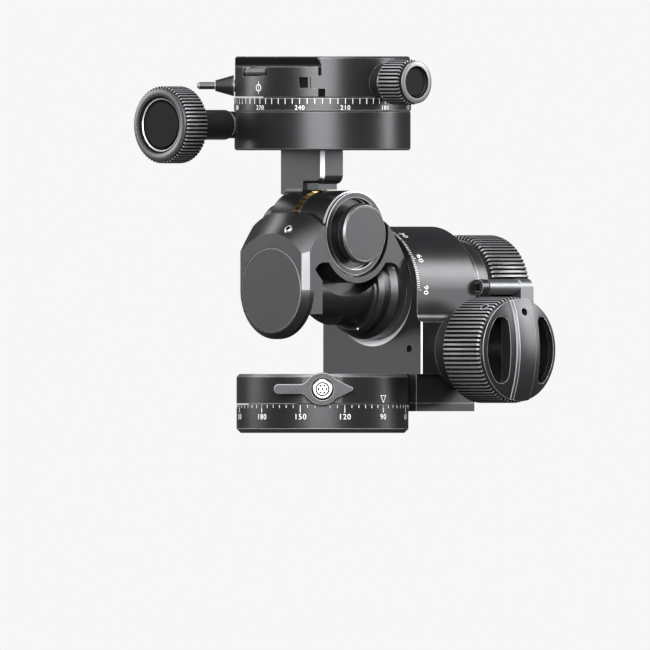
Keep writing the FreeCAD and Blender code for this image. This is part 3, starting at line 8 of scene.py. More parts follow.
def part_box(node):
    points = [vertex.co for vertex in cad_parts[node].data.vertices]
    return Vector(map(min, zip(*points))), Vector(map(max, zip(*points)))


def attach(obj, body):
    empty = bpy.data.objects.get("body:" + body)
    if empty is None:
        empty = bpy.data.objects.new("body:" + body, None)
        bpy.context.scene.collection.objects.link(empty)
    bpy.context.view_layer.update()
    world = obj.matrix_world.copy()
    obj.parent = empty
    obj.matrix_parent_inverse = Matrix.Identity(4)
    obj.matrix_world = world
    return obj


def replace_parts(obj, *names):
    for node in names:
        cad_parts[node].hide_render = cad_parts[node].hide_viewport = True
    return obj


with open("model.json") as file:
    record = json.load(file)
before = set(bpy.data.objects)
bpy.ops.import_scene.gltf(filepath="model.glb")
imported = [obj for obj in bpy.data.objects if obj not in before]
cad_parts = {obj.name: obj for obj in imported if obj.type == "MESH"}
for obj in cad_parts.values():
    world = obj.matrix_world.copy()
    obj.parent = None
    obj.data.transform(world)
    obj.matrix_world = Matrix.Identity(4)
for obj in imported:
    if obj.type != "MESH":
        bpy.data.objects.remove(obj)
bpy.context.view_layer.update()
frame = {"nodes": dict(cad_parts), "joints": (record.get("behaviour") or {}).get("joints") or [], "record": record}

# Sizes are in millimetres; MM turns them to metres
MM = 0.001
TAU = 2 * math.pi
X, Y, Z = Vector((1, 0, 0)), Vector((0, 1, 0)), Vector((0, 0, 1))
CORNER = Vector((1, -1, 0)).normalized()    # out of the corner between front and right side

# Radii of the round faces that carry print
BASE_R = 29.0
CLAMP_R = 29.5
CLAMP_RING_R = 29.85
ARCH_R = 21.4

# Fluted grips: radius and number of flutes, and how deep the flutes are
KNOB_1_R, KNOB_1_FLUTES = 17.9, 72
KNOB_2_R, KNOB_2_FLUTES = 18.5, 76
ROTATOR_KNOB_R, ROTATOR_KNOB_FLUTES = 13.0, 60
CLAMP_KNOB_R, CLAMP_KNOB_FLUTES = 7.6, 36
LARGE_FLUTE, SMALL_FLUTE = 0.55, 0.5

# Where surfaces turn more than this, in degrees, their edge is sharp
TURNED_SHARP = 30
FLUTED_SHARP = 50
DRESSED_SHARP = 34
BROKEN = 32             # edges sharper than this are broken


# ---- where things are, from the frame ---------------------------------------------------
def line_of(name):
    """The line that a joint turns about, as (point, direction)."""
    found = next(j for j in frame["joints"] if j["name"] == name)
    return Vector(found["pos_m"]), Vector(found["axis"]).normalized()


def span(node, direction):
    """How far a node reaches along X, Y or Z, as (low, high) in metres."""
    low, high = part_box(node)
    place = max(range(3), key=lambda i: abs(direction[i]))
    return low[place], high[place]


PAN = line_of("pan_turn")
AXIS1 = line_of("tilt_1")
KNOB1 = line_of("gear_knob_1_turn")
DRIVE = line_of("rotator_drive_turn")
CLAMP_SCREW = line_of("clamp_knob_turn")
PAN_LOCK = line_of("pan_lock_turn")


# ---- shader expressions -----------------------------------------------------------------
class Expr:
    """A shader socket that adds Math nodes when it is used in a sum."""

    def __init__(self, shader, socket):
        self.shader = shader
        self.socket = socket

    def do(self, operation, *values, clamp=False):
        settings = dict(operation=operation, use_clamp=clamp)
        return self.shader.node("Math", settings, *values)["Value"]

    def __add__(self, other):
        return self.do("ADD", self, other)

    def __sub__(self, other):
        return self.do("SUBTRACT", self, other)

    def __rsub__(self, other):
        return self.do("SUBTRACT", other, self)

    def __mul__(self, other):
        return self.do("MULTIPLY", self, other)

    def __lt__(self, other):
        return self.do("LESS_THAN", self, other)

    __radd__ = __add__
    __rmul__ = __mul__

    def abs(self):
        return self.do("ABSOLUTE", self)

    def clamped(self):
        return self.do("ADD", self, 0.0, clamp=True)


class Made:
    """A node's outputs by name."""

    def __init__(self, shader, node):
        self.shader = shader
        self.node = node

    def __getitem__(self, name):
        return Expr(self.shader, self.node.outputs[name])


class Shader:
    """One material's node tree."""

    # Places of a Mix node's colour sockets, whose names it shares with its other kinds
    FIRST_COLOUR, SECOND_COLOUR, MIXED_COLOUR = 6, 7, 2

    def __init__(self, name):
        self.material = bpy.data.materials.new(name)
        self.material.use_nodes = True
        self.tree = self.material.node_tree
        self.tree.nodes.clear()

    def node(self, kind, settings=None, *values, **named):
        """Adds a node: its settings first, then values or links for its sockets."""
        made = self.tree.nodes.new("ShaderNode" + kind)
        for key, value in (settings or {}).items():
            setattr(made, key, value)
        for place, value in enumerate(values):
            self.feed(made.inputs[place], value)
        for name, value in named.items():
            self.feed(made.inputs[name.replace("_", " ")], value)
        return Made(self, made)

    def feed(self, socket, value):
        if isinstance(value, Expr):
            self.tree.links.new(value.socket, socket)
        else:
            socket.default_value = value

    def mix(self, factor, first, second):
        """Mixes two colours."""
        made = self.node("Mix", dict(data_type="RGBA"))
        self.feed(made.node.inputs["Factor"], factor)
        self.feed(made.node.inputs[self.FIRST_COLOUR], first)
        self.feed(made.node.inputs[self.SECOND_COLOUR], second)
        return Expr(self, made.node.outputs[self.MIXED_COLOUR])

    def noise(self, scale, detail=2.0, roughness=0.5):
        here = self.node("TexCoord")["Object"]
        made = self.node("TexNoise", None, Vector=here, Scale=scale, Detail=detail,
                         Roughness=roughness)
        return made["Fac"]

    def along_x(self):
        """The X Object coordinate, in metres."""
        return self.node("SeparateXYZ", None, self.node("TexCoord")["Object"])["X"]

    def bump(self, height, strength, distance):
        made = self.node("Bump", None, Height=height, Strength=strength, Distance=distance)
        return made["Normal"]

    def finish(self, **sockets):
        """A Principled surface with these sockets, as the material's output."""
        surface = self.node("BsdfPrincipled", None, **sockets)
        self.node("OutputMaterial", None, surface["BSDF"])
        return self.material


def rgb(r, g, b):
    return (r, g, b, 1.0)


# ---- finishes ---------------------------------------------------------------------------
# Scales of slow noise, in turns to the metre
CLOUDS, DULL_SPOTS, WORN_SPOTS, MURK, SPECKS = 90.0, 260.0, 2600.0, 500.0, 900.0
# Tints of a black dye, as shares of its grey: where it is thin, where it is full, and worn
THIN, FULL, WORN_DYE = (0.88, 0.89, 0.92), (1.1, 1.12, 1.16), (1.3, 1.32, 1.36)
# Depths of the grain and of tool marks, and how strongly they are bumped
SHALLOW, DEEP = 0.02 * MM, 0.03 * MM
GRAIN_BUMP, MARK_BUMP = 0.35, 0.12
# How much grain, clouds, tool marks and dull spots change the roughness
GRAIN_SPREAD, CLOUD_SPREAD, MARK_SPREAD, DULL_SPREAD = 0.16, 0.06, 0.12, 0.1


def tinted(grey, shares):
    return rgb(*[grey * share for share in shares])


def blasted_black(name, base, rough, metal, grain, depth, gloss=0.5):
    """Sand-blasted and anodised aluminium: fine grain, faint unevenness in the dye."""
    m = Shader(name)
    fine = m.noise(grain, detail=3.0, roughness=0.6)
    cloud = m.noise(CLOUDS)
    colour = m.mix(cloud, tinted(base, THIN), tinted(base, FULL))
    speck = m.mix((fine - 0.5) * 0.5 + 0.5, colour, tinted(base, WORN_DYE))
    spread = (fine - 0.5) * GRAIN_SPREAD + (cloud - 0.5) * CLOUD_SPREAD + rough
    return m.finish(Base_Color=speck, Roughness=spread, Metallic=metal,
                    Specular_IOR_Level=gloss, Normal=m.bump(fine, GRAIN_BUMP, depth))


def turned_metal(name, colour, rough, rings, metal=1.0):
    """Metal left bright by the lathe, with faint tool marks; the pale edge finishes made with it are painted
    highlights.
    """
    m = Shader(name)
    marks = m.noise(rings, detail=1.0)
    dull = m.noise(DULL_SPOTS, detail=3.0)
    tone = m.mix(dull, rgb(*[c * 0.86 for c in colour]), rgb(*colour))
    spread = (marks - 0.5) * MARK_SPREAD + (dull - 0.5) * DULL_SPREAD + rough
    return m.finish(Base_Color=tone, Roughness=spread, Metallic=metal,
                    Normal=m.bump(marks, MARK_BUMP, SHALLOW))


def white_paint():
    m = Shader("white_print")
    worn = m.noise(WORN_SPOTS, detail=3.0)
    tone = m.mix(worn, rgb(0.72, 0.73, 0.74), rgb(0.9, 0.9, 0.9))
    return m.finish(Base_Color=tone, Roughness=worn * 0.2 + 0.4)


def clear_vial():
    """Greyish liquid with a faint green tint, and a black band near the +X end."""
    band_at, band_half = 0.2 * MM, 1.0 * MM
    m = Shader("vial_liquid")
    depth = m.noise(MURK)
    liquid = m.mix(depth, rgb(0.045, 0.05, 0.04), rgb(0.07, 0.077, 0.062))
    band = (m.along_x() - band_at).abs() < band_half
    tone = m.mix(band, liquid, rgb(0.002, 0.002, 0.002))
    return m.finish(Base_Color=tone, Roughness=depth * 0.05 + band * 0.4 + 0.3,
                    Coat_Weight=(1.0 - band) * 0.25, Specular_IOR_Level=0.2)


def washer_plastic():
    m = Shader("washer_plastic")
    grain = m.noise(SPECKS)
    tone = m.mix(grain, rgb(0.7, 0.7, 0.68), rgb(0.8, 0.8, 0.78))
    return m.finish(Base_Color=tone, Roughness=grain * 0.2 + 0.4)


# Blacks: grey, roughness, metallic, scale and depth of the grain, gloss
BODY = blasted_black("black_blasted", 0.036, 0.33, 0.8, 3800.0, DEEP)
KNOB = blasted_black("black_knob", 0.045, 0.36, 0.85, 3000.0, SHALLOW)
# Lighter black on the crests of the flutes and on the clamp knob's ring face: painted highlight.
RIDGE_HIGHLIGHT = blasted_black("black_ridge_highlight", 0.15, 0.42, 0.55, 3000.0, SHALLOW)
# Lighter black on the smooth ring face of the drive knob: painted highlight.
RIM_HIGHLIGHT = blasted_black("black_rim_highlight", 0.075, 0.40, 0.75, 3000.0, SHALLOW)
INSERT = blasted_black("grey_insert", 0.028, 0.42, 0.6, 5200.0, DEEP)
# Lighter black on chamfers, on faces turned to the view's corner, and on the tilt lock's rod and tab: painted
# sheen.
SHEEN = blasted_black("painted_chamfer_sheen", 0.13, 0.42, 0.9, 3800.0, SHALLOW)
# Flat, dull near-black in hollows, flute valleys, grooves, gaps, undercuts and the clamp's pocket: painted shade.
# It also colours the lever screw's black washer.
SHADE_BLACK = blasted_black("black_painted_shade", 0.003, 0.7, 0.0, 3800.0, SHALLOW, 0.1)
# Darker, duller black on the level faces of the clamp and the pan: painted shade.
DECK_SHADE = blasted_black("black_deck_shade", 0.016, 0.55, 0.0, 3800.0, DEEP, 0.2)
FACE = blasted_black("black_face", 0.005, 0.5, 0.0, 5200.0, SHALLOW, 0.07)
# Metals: colour, roughness, scale of the tool marks, metallic
# Pale metal on broken edges, flute edges, cones and chamfers, bright under any lamp: painted highlight.
EDGE_HIGHLIGHT = turned_metal("painted_edge_highlight", (0.60, 0.61, 0.63), 0.44, 5000.0, 0.55)
# Pale, mostly diffuse metal on the housing's mouth chamfer and upright corner flat: painted highlight.
PALE_SHINE = turned_metal("painted_pale_highlight", (0.82, 0.83, 0.85), 0.42, 5000.0, 0.15)
BRASS = turned_metal("cut_brass", (0.50, 0.36, 0.14), 0.34, 4000.0)
STEEL = turned_metal("turned_steel", (0.50, 0.50, 0.51), 0.34, 4500.0)
WHITE = white_paint()
VIAL = clear_vial()
WASHER = washer_plastic()
SLOT_FINISHES = {"black_body": BODY, "black_knob": KNOB, "insert": INSERT, "brass": BRASS,
                 "steel": STEEL, "washer": WASHER, "vial": VIAL, "vial_end": STEEL}

# Numbers of the materials on a piece: first those of every piece, then a knob's, then a
# dressed solid's
# The second number is a painted highlight on edges and chamfers; the third is painted shade in hollows, valleys,
# gaps and undercuts.
MAIN, HIGHLIGHT, SHADE = 0, 1, 2
# A knob's fourth and fifth are the finishes of its crests and ring face, lighter blacks on most knobs: painted
# highlights.
CREST, RING = 3, 4
# A dressed solid's fourth is a lighter black (painted sheen), its fifth a darker, duller black on level faces
# (painted shade), its sixth a pale metal (painted highlight).
SOFT_HIGHLIGHT, LEVEL_SHADE, PALE_HIGHLIGHT = 3, 4, 5
# A screw has only two; its second is painted shade in its hollows, and it also colours the lever screw's black
# washer.
HOLLOW = 1


# ---- mesh helpers -----------------------------------------------------------------------
def make_object(name, mesh, *materials):
    piece = bpy.data.objects.new(name, mesh)
    bpy.context.scene.collection.objects.link(piece)
    for material in materials:
        mesh.materials.append(material)
    return piece


def evaluated(piece):
    """The piece's mesh with its modifiers applied; the piece itself goes."""
    bpy.context.view_layer.update()
    graph = bpy.context.evaluated_depsgraph_get()
    mesh = bpy.data.meshes.new_from_object(piece.evaluated_get(graph))
    bpy.data.objects.remove(piece)
    return mesh


def put(name, mesh, body, slot, *materials):
    """Makes a finished piece that moves with a body."""
    piece = make_object(name, mesh, *materials)
    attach(piece, body)
    return piece


def smooth(mesh, degrees):
    """Smooth faces, with sharp edges where the surface turns more than this."""
    form = bmesh.new()
    form.from_mesh(mesh)
    limit = math.radians(degrees)
    for face in form.faces:
        face.smooth = True
    for edge in form.edges:
        edge.smooth = len(edge.link_faces) == 2 and edge.calc_face_angle(0) < limit
    form.to_mesh(mesh)
    form.free()


def joined(meshes):
    """One mesh out of several; their material numbers stay."""
    form = bmesh.new()
    for mesh in meshes:
        form.from_mesh(mesh)
    whole = bpy.data.meshes.new("joined")
    form.to_mesh(whole)
    form.free()
    return whole


# ---- round pieces -----------------------------------------------------------------------
WELD = 0.001            # points closer than this become one


def outward(along, zero, angle):
    """The direction away from a line at an angle round it, counted from zero."""
    return zero * math.cos(angle) + along.cross(zero) * math.sin(angle)


def at(value, turn):
    """A value that may depend on the turn round the line."""
    return value(turn) if callable(value) else value


def lathe(line, rings, turns, zero, sharp=TURNED_SHARP):
    """A closed surface round a line.

    Each ring is (place, radius, finish).  The radius and the finish, which numbers the
    material of the band up to the next ring, may be functions of the turn.  turns is a
    number of even steps from zero, or the list of turns itself.
    """
    point, along = line
    if not isinstance(turns, list):
        turns = [TAU * i / turns for i in range(turns)]
    count = len(turns)
    middles = [(a + (b if b > a else b + TAU)) / 2 for a, b in zip(turns, turns[1:] + turns[:1])]
    form = bmesh.new()
    loops = []
    for place, radius, finish in rings:
        loop = []
        for turn in turns:
            spoke = outward(along, zero, turn)
            spot = point + (along * place + spoke * at(radius, turn)) * MM
            loop.append(form.verts.new(spot))
        loops.append(loop)
    for (_, _, finish), low, high in zip(rings, loops, loops[1:]):
        for i in range(count):
            k = (i + 1) % count
            face = form.faces.new((low[i], low[k], high[k], high[i]))
            face.material_index = at(finish, middles[i])
    for (place, _, finish), loop in ((rings[0], loops[0]), (rings[-1], loops[-1])):
        pole = form.verts.new(point + along * place * MM)
        for i in range(count):
            face = form.faces.new((loop[i], loop[(i + 1) % count], pole))
            face.material_index = at(finish, middles[i])
    bmesh.ops.remove_doubles(form, verts=form.verts, dist=WELD * MM)
    bmesh.ops.recalc_face_normals(form, faces=form.faces)
    mesh = bpy.data.meshes.new("turned")
    form.to_mesh(mesh)
    form.free()
    smooth(mesh, sharp)
    return mesh


def star(radius, points, depth):
    """Radius of a rounded star with this many points."""
    return lambda turn: radius * (1 - depth * (1 - math.cos(points * turn)) / 2)


# One flute over its pitch: (share of the pitch, share of the depth, finish up to the next). The valley gets
# painted shade and the crest's edges a painted highlight; the crest's top takes the knob's crest finish.
FLUTE = [(0.0, 0.0, SHADE), (0.08, 0.55, SHADE), (0.17, 0.90, SHADE), (0.33, 1.0, SHADE),
         (0.49, 0.90, SHADE), (0.58, 0.55, SHADE), (0.66, 0.0, HIGHLIGHT), (0.72, 0.0, CREST),
         (0.83, 0.0, CREST), (0.94, 0.0, HIGHLIGHT)]


def fluted_rings(radius, count, depth, places):
    """Rings and turns of a fluted grip; places are (place, radius lost to the chamfer)."""
    near = 1e-5         # shares of the pitch closer than this are the same place
    pitch = TAU / count
    turns = [pitch * (i + share) for i in range(count) for share, _, _ in FLUTE]

    def part(turn):
        share = (turn / pitch + near / 10) % 1.0
        return max((f for f in FLUTE if f[0] <= share + near), key=lambda f: f[0])

    def sunk(lost):
        return lambda turn: radius - depth * part(turn)[1] - lost

    def finish(turn):
        return part(turn)[2]

    return [(place, sunk(lost), finish) for place, lost in places], turns


# ---- printed marks ----------------------------------------------------------------------
MARK_PROUD = 0.03
MARK_W = 0.2
FIGURE_PROUD = 0.02
CAP_SHARE = 0.73        # height of a figure as a share of the font's size
FIGURE_SPACING = 1.12
PRINT_SLOT = "washer"   # the record's one white slot


def wrapped(mesh, line, zero, radius, turn):
    """Bends flat artwork round a line: x goes round from turn degrees, y along, z outward."""
    point, along = line
    for vert in mesh.vertices:
        across, up, proud = vert.co
        spoke = outward(along, zero, math.radians(turn) + across / radius)
        vert.co = point + (along * up + spoke * (radius + proud)) * MM
    return mesh


def laid_flat(mesh, line, zero, radius, turn):
    """Lays flat artwork on the flat face that touches the round one at that turn."""
    point, along = line
    spoke = outward(along, zero, math.radians(turn))
    onward = along.cross(spoke)
    for vert in mesh.vertices:
        across, up, proud = vert.co
        vert.co = point + (along * up + onward * across + spoke * (radius + proud)) * MM
    return mesh


def words(text, height):
    """Flat figures of that height, centred on the origin."""
    curve = bpy.data.curves.new("figures", "FONT")
    curve.body = text
    curve.size = height / CAP_SHARE
    curve.align_x = "CENTER"
    curve.extrude = FIGURE_PROUD
    curve.space_character = FIGURE_SPACING
    curve.resolution_u = 3
    piece = bpy.data.objects.new("figures", curve)
    bpy.context.scene.collection.objects.link(piece)
    mesh = evaluated(piece)
    mesh.transform(Matrix.Translation((0, -height / 2, 0)))
    return mesh


class Graph:
    """A Geometry Nodes tree whose inputs are made by name."""

    def __init__(self, name, inputs):
        self.tree = bpy.data.node_groups.new(name, "GeometryNodeTree")
        face = self.tree.interface
        face.new_socket("Geometry", in_out="OUTPUT", socket_type="NodeSocketGeometry")
        face.new_socket("Geometry", in_out="INPUT", socket_type="NodeSocketGeometry")
        self.keys = {}
        for label, kind in inputs.items():
            self.keys[label] = face.new_socket(label, in_out="INPUT", socket_type=kind).identifier
        self.start = self.tree.nodes.new("NodeGroupInput")
        self.end = self.tree.nodes.new("NodeGroupOutput")

    def add(self, kind, settings=None, **links):
        made = self.tree.nodes.new(kind)
        for key, value in (settings or {}).items():
            setattr(made, key, value)
        for name, value in links.items():
            self.feed(made.inputs[name.replace("_", " ")], value)
        return made

    def sum(self, operation, *values):
        made = self.add("ShaderNodeMath", dict(operation=operation))
        for socket, value in zip(made.inputs, values):
            self.feed(socket, value)
        return made.outputs["Value"]

    def feed(self, socket, value):
        if isinstance(value, bpy.types.NodeSocket):
            self.tree.links.new(value, socket)
        else:
            socket.default_value = value

    def use(self, values):
        """Runs the tree with these inputs and gives the mesh."""
        host = make_object("host", bpy.data.meshes.new("host"))
        modifier = host.modifiers.new("marks", "NODES")
        modifier.node_group = self.tree
        for label, value in values.items():
            modifier[self.keys[label]] = value
        return evaluated(host)


def mark_ring():
    """Bars spread round the Z axis: a scale's lines."""
    number, size = "NodeSocketFloat", "NodeSocketVector"
    g = Graph("ring_of_marks", {"Count": "NodeSocketInt", "Radius": number, "First": number,
                                "Step": number, "Bar": size, "Finish": "NodeSocketMaterial"})
    inputs = g.start.outputs
    index = g.add("GeometryNodeInputIndex").outputs["Index"]
    turn = g.sum("ADD", g.sum("MULTIPLY", index, inputs["Step"]), inputs["First"])
    x = g.sum("MULTIPLY", g.sum("COSINE", turn), inputs["Radius"])
    y = g.sum("MULTIPLY", g.sum("SINE", turn), inputs["Radius"])
    spot = g.add("ShaderNodeCombineXYZ", None, X=x, Y=y).outputs["Vector"]
    lean = g.add("ShaderNodeCombineXYZ", None, Z=turn).outputs["Vector"]
    points = g.add("GeometryNodePoints", None, Count=inputs["Count"], Position=spot)
    bar = g.add("GeometryNodeMeshCube", None, Size=inputs["Bar"])
    spread = g.add("GeometryNodeInstanceOnPoints", None, Points=points.outputs["Points"],
                   Instance=bar.outputs["Mesh"], Rotation=lean)
    real = g.add("GeometryNodeRealizeInstances", None, Geometry=spread.outputs["Instances"])
    finish = g.add("GeometryNodeSetMaterial", None, Geometry=real.outputs["Geometry"],
                   Material=inputs["Finish"])
    g.feed(g.end.inputs["Geometry"], finish.outputs["Geometry"])
    return g


MARKS = mark_ring()


def frame_of(line, zero, place):
    """Matrix that puts the Z axis on a line, X towards zero, at a place along it."""
    point, along = line
    side = along.cross(zero)
    turn = Matrix((zero, side, along)).transposed().to_4x4()
    return Matrix.Translation(point + along * place * MM) @ turn


def scale_lines(line, zero, radius, low, length, count, first, step, width):
    """A ring of lines from low upward along the line; angles in degrees."""
    bar = Vector((2 * MARK_PROUD, width, length)) * MM
    mesh = MARKS.use({"Count": count, "Radius": radius * MM, "First": math.radians(first),
                      "Step": math.radians(step), "Bar": bar, "Finish": WHITE})
    mesh.transform(frame_of(line, zero, low + length / 2))
    mesh.materials.clear()
    return mesh


def figures(line, zero, radius, middle, height, places, flat):
    """Numbers round a line; places are (text, degrees), flat the degrees on flat faces."""
    point, along = line
    shifted = (point + along * middle * MM, along)
    meshes = []
    for text, degrees in places:
        lay = laid_flat if degrees in flat else wrapped
        meshes.append(lay(words(text, height), shifted, zero, radius, degrees))
    return meshes


def printed_scale(name, body, line, zero, radius, edge, rows, middle, height, places, flat=()):
    """A scale of lines and figures on a round face; distances start at the face's edge.

    A row of lines is (low, length, count, first degree, step in degrees, width).
    """
    meshes = [scale_lines(line, zero, radius, edge + low, *row) for low, *row in rows]
    meshes += figures(line, zero, radius, edge + middle, height, places, flat)
    put(name, joined(meshes), body, PRINT_SLOT, WHITE)


def dial(first):
    """Figures every 30 degrees that count down from first."""
    return [(str((first - 30 * i) % 360), 30 * i) for i in range(12)]


def print_scales():
    printed_scale("base_scale", "base", PAN, X, BASE_R, span("base_ring", Z)[1] / MM,
                  [(-1.2, 1.05, 72, 0, 5, MARK_W), (-2.7, 2.4, 12, 0, 30, 0.26)],
                  -4.05, 1.95, dial(90))
    printed_scale("clamp_scale", "yoke", PAN, X, CLAMP_RING_R, span("scale_ring", Z)[1] / MM,
                  [(-2.15, 1.9, 72, 0, 5, MARK_W)], -3.3, 1.6, dial(180))
    arch = (Vector((0, 0, AXIS1[0].z)), Y)
    printed_scale("arch_scale", "pan", arch, Z, ARCH_R, span("tilt_housing", Y)[0] / MM,
                  [(0.25, 1.0, 91, -90, 2, 0.16), (0.25, 1.7, 7, -90, 30, MARK_W)],
                  4.3, 2.2, [(str(abs(30 * i)), 30 * i) for i in range(-3, 4)], (-90, 90))


def disc_mark(across, up, outer, inner=0.0, steps=32):
    """A flat ring or dot, as artwork."""
    form = bmesh.new()
    rims = []
    for radius, proud in ((inner, 0.0), (outer, 0.0), (outer, MARK_PROUD), (inner, MARK_PROUD)):
        rims.append([form.verts.new((across + radius * math.cos(TAU * i / steps),
                                     up + radius * math.sin(TAU * i / steps), proud))
                     for i in range(steps)])
    for low, high in zip(rims, rims[1:] + rims[:1]):
        for i in range(steps):
            k = (i + 1) % steps
            form.faces.new((low[i], low[k], high[k], high[i]))
    bmesh.ops.remove_doubles(form, verts=form.verts, dist=WELD)
    bmesh.ops.recalc_face_normals(form, faces=form.faces)
    mesh = bpy.data.meshes.new("mark")
    form.to_mesh(mesh)
    form.free()
    return mesh


def stroke(points, width):
    """A closed outline of straight bars between points, as artwork."""
    form = bmesh.new()
    for a, b in zip(points, points[1:] + points[:1]):
        a, b = Vector((*a, 0)), Vector((*b, 0))
        along = (b - a).normalized() * width / 2
        side = Vector((-along.y, along.x, 0))
        corners = [a - along - side, b + along - side, b + along + side, a - along + side]
        low = [form.verts.new(c) for c in corners]
        high = [form.verts.new(c + Z * MARK_PROUD) for c in corners]
        form.faces.new(low[::-1])
        form.faces.new(high)
        for i in range(4):
            k = (i + 1) % 4
            form.faces.new((low[i], low[k], high[k], high[i]))
    mesh = bpy.data.meshes.new("mark")
    form.to_mesh(mesh)
    form.free()
    return mesh


def clamp_index():
    """Ring with a line through it, on the clamp."""
    up, turn = 3.0, -92
    outer, inner, reach, width = 1.25, 1.0, 2.0, 0.24
    line = (PAN[0] + Z * (span("clamp_base", Z)[0] + up * MM), Z)
    ring = wrapped(disc_mark(0, 0, outer, inner), line, X, CLAMP_R, turn)
    bar = wrapped(stroke([(0, -reach), (0, reach)], width), line, X, CLAMP_R, turn)
    put("clamp_index", joined([ring, bar]), "clamp", PRINT_SLOT, WHITE)


def pan_index():
    """Triangle over the scale of the base."""
    tip, top, half = 0.35, 2.7, 1.15
    line = (PAN[0] + Z * span("pan_body", Z)[0], Z)
    arrow = stroke([(0, tip), (half, top), (-half, top)], MARK_W)
    put("pan_index", wrapped(arrow, line, X, BASE_R, 0), "pan", PRINT_SLOT, WHITE)


def tilt_index():
    """Dot and a short line at the foot of the collars of the cradle."""
    front = 13.5
    dot_at, dot_r, line_at, low, high = 3.3, 0.5, 2.4, -13.0, -12.2
    mesh = joined([disc_mark(dot_at, low, dot_r),
                   stroke([(line_at, high), (line_at, low)], MARK_W)])
    for vert in mesh.vertices:
        across, up, proud = vert.co
        vert.co = Vector((across, front - proud, AXIS1[0].z / MM + up)) * MM
    put("tilt_index", mesh, "cradle", PRINT_SLOT, WHITE)


# ---- fluted knobs -----------------------------------------------------------------------
def gear_grip(radius, flutes, start, end, bore, cup, cup_depth):
    """Rings and turns of a gear knob: a rounded grip with a cup in its end."""
    # Rounded ends: how far a ring is from the end, and the radius that it loses
    inner_end = [(0.0, 0.9), (0.35, 0.35), (0.9, 0.0)]
    outer_end = [(0.9, 0.0), (0.35, 0.3), (0.0, 0.9)]
    places = [(start + far, lost) for far, lost in inner_end]
    places += [(end - far, lost) for far, lost in outer_end]
    rings, turns = fluted_rings(radius, flutes, LARGE_FLUTE, places)
    floor = end - cup_depth
    inside = [(end, cup, MAIN), (floor, cup, MAIN), (floor, bore, MAIN)]
    return [(start, bore, MAIN)] + rings + inside, turns


def knob_1_grooves():
    """Gear knob of the first tilt."""
    low, high = span("knob_1", X)
    start, end = (low - KNOB1[0].x) / MM, (high - KNOB1[0].x) / MM
    rings, turns = gear_grip(KNOB_1_R, KNOB_1_FLUTES, start, end,
                             bore=3.1, cup=15.9, cup_depth=5.0)
    mesh = lathe((KNOB1[0], X), rings, turns, Y, FLUTED_SHARP)
    piece = put("knob_1_fluted", mesh, "gear_knob_1", "black_knob", KNOB, EDGE_HIGHLIGHT, SHADE_BLACK, RIDGE_HIGHLIGHT)
    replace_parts(piece, "knob_1")


def knob_1_set_screw():
    """A set screw hole in the flutes of the first gear knob, painted on: a near-black disc of painted shade and a
    pale ring of painted highlight round it.
    """
    place, turn, proud = 13.2, 126, 0.12
    hole, rim = 1.25, 1.5
    line = (KNOB1[0] + X * (span("knob_1", X)[0] - KNOB1[0].x + place * MM), X)
    for name, outer, inner, finish in (("knob_1_set_screw", hole, 0.0, SHADE_BLACK),
                                       ("knob_1_set_screw_glint", rim, hole, EDGE_HIGHLIGHT)):
        mesh = wrapped(disc_mark(0, 0, outer, inner), line, Y, KNOB_1_R + proud, turn)
        put(name, mesh, "gear_knob_1", "black_knob", finish)


def knob_2_grooves():
    """Gear knob of the second tilt."""
    low, high = span("knob_2", Y)
    line = (Vector((0, 0, AXIS1[0].z)), Y)
    rings, turns = gear_grip(KNOB_2_R, KNOB_2_FLUTES, low / MM, high / MM,
                             bore=3.1, cup=13.5, cup_depth=2.0)
    mesh = lathe(line, rings, turns, X, FLUTED_SHARP)
    piece = put("knob_2_fluted", mesh, "gear_knob_2", "black_knob", KNOB, EDGE_HIGHLIGHT, SHADE_BLACK, KNOB)
    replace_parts(piece, "knob_2")


def rotator_knob_grooves():
    """Knob of the clamp's drive: flutes behind a smooth ring, and a seat for its insert."""
    low, high = span("rotator_knob", Y)
    start, end = low / MM, high / MM
    bore, insert = 2.1, 7.75
    cone_in, cone_out = 8.6, 8.95
    face_in, face_out, ring_r, flutes_at = 9.75, 12.0, 12.3, 0.7
    line = (Vector((DRIVE[0].x, 0, DRIVE[0].z)), Y)
    rings, turns = fluted_rings(ROTATOR_KNOB_R, ROTATOR_KNOB_FLUTES, SMALL_FLUTE, [
        (start + flutes_at, 0.55), (start + 1.1, 0.0), (end - 0.6, 0.0), (end, 0.6)])
    # The seat's walls get painted shade and its cone a painted highlight; the ring's face gets a lighter black, a
    # painted highlight.
    seat = [(start + 2.0, bore, MAIN), (start + 2.0, insert, SHADE),
            (start + 1.0, cone_in, HIGHLIGHT), (start + 0.8, cone_out, SHADE)]
    ring = [(start, face_in, RING), (start, face_out, RING), (start + 0.25, ring_r, MAIN),
            (start + flutes_at, ring_r, MAIN)]
    mesh = lathe(line, seat + ring + rings + [(end, bore, MAIN)], turns, X, FLUTED_SHARP)
    piece = put("rotator_knob_fluted", mesh, "rotator_drive", "black_knob", KNOB, EDGE_HIGHLIGHT, SHADE_BLACK,
                RIDGE_HIGHLIGHT, RIM_HIGHLIGHT)
    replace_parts(piece, "rotator_knob")


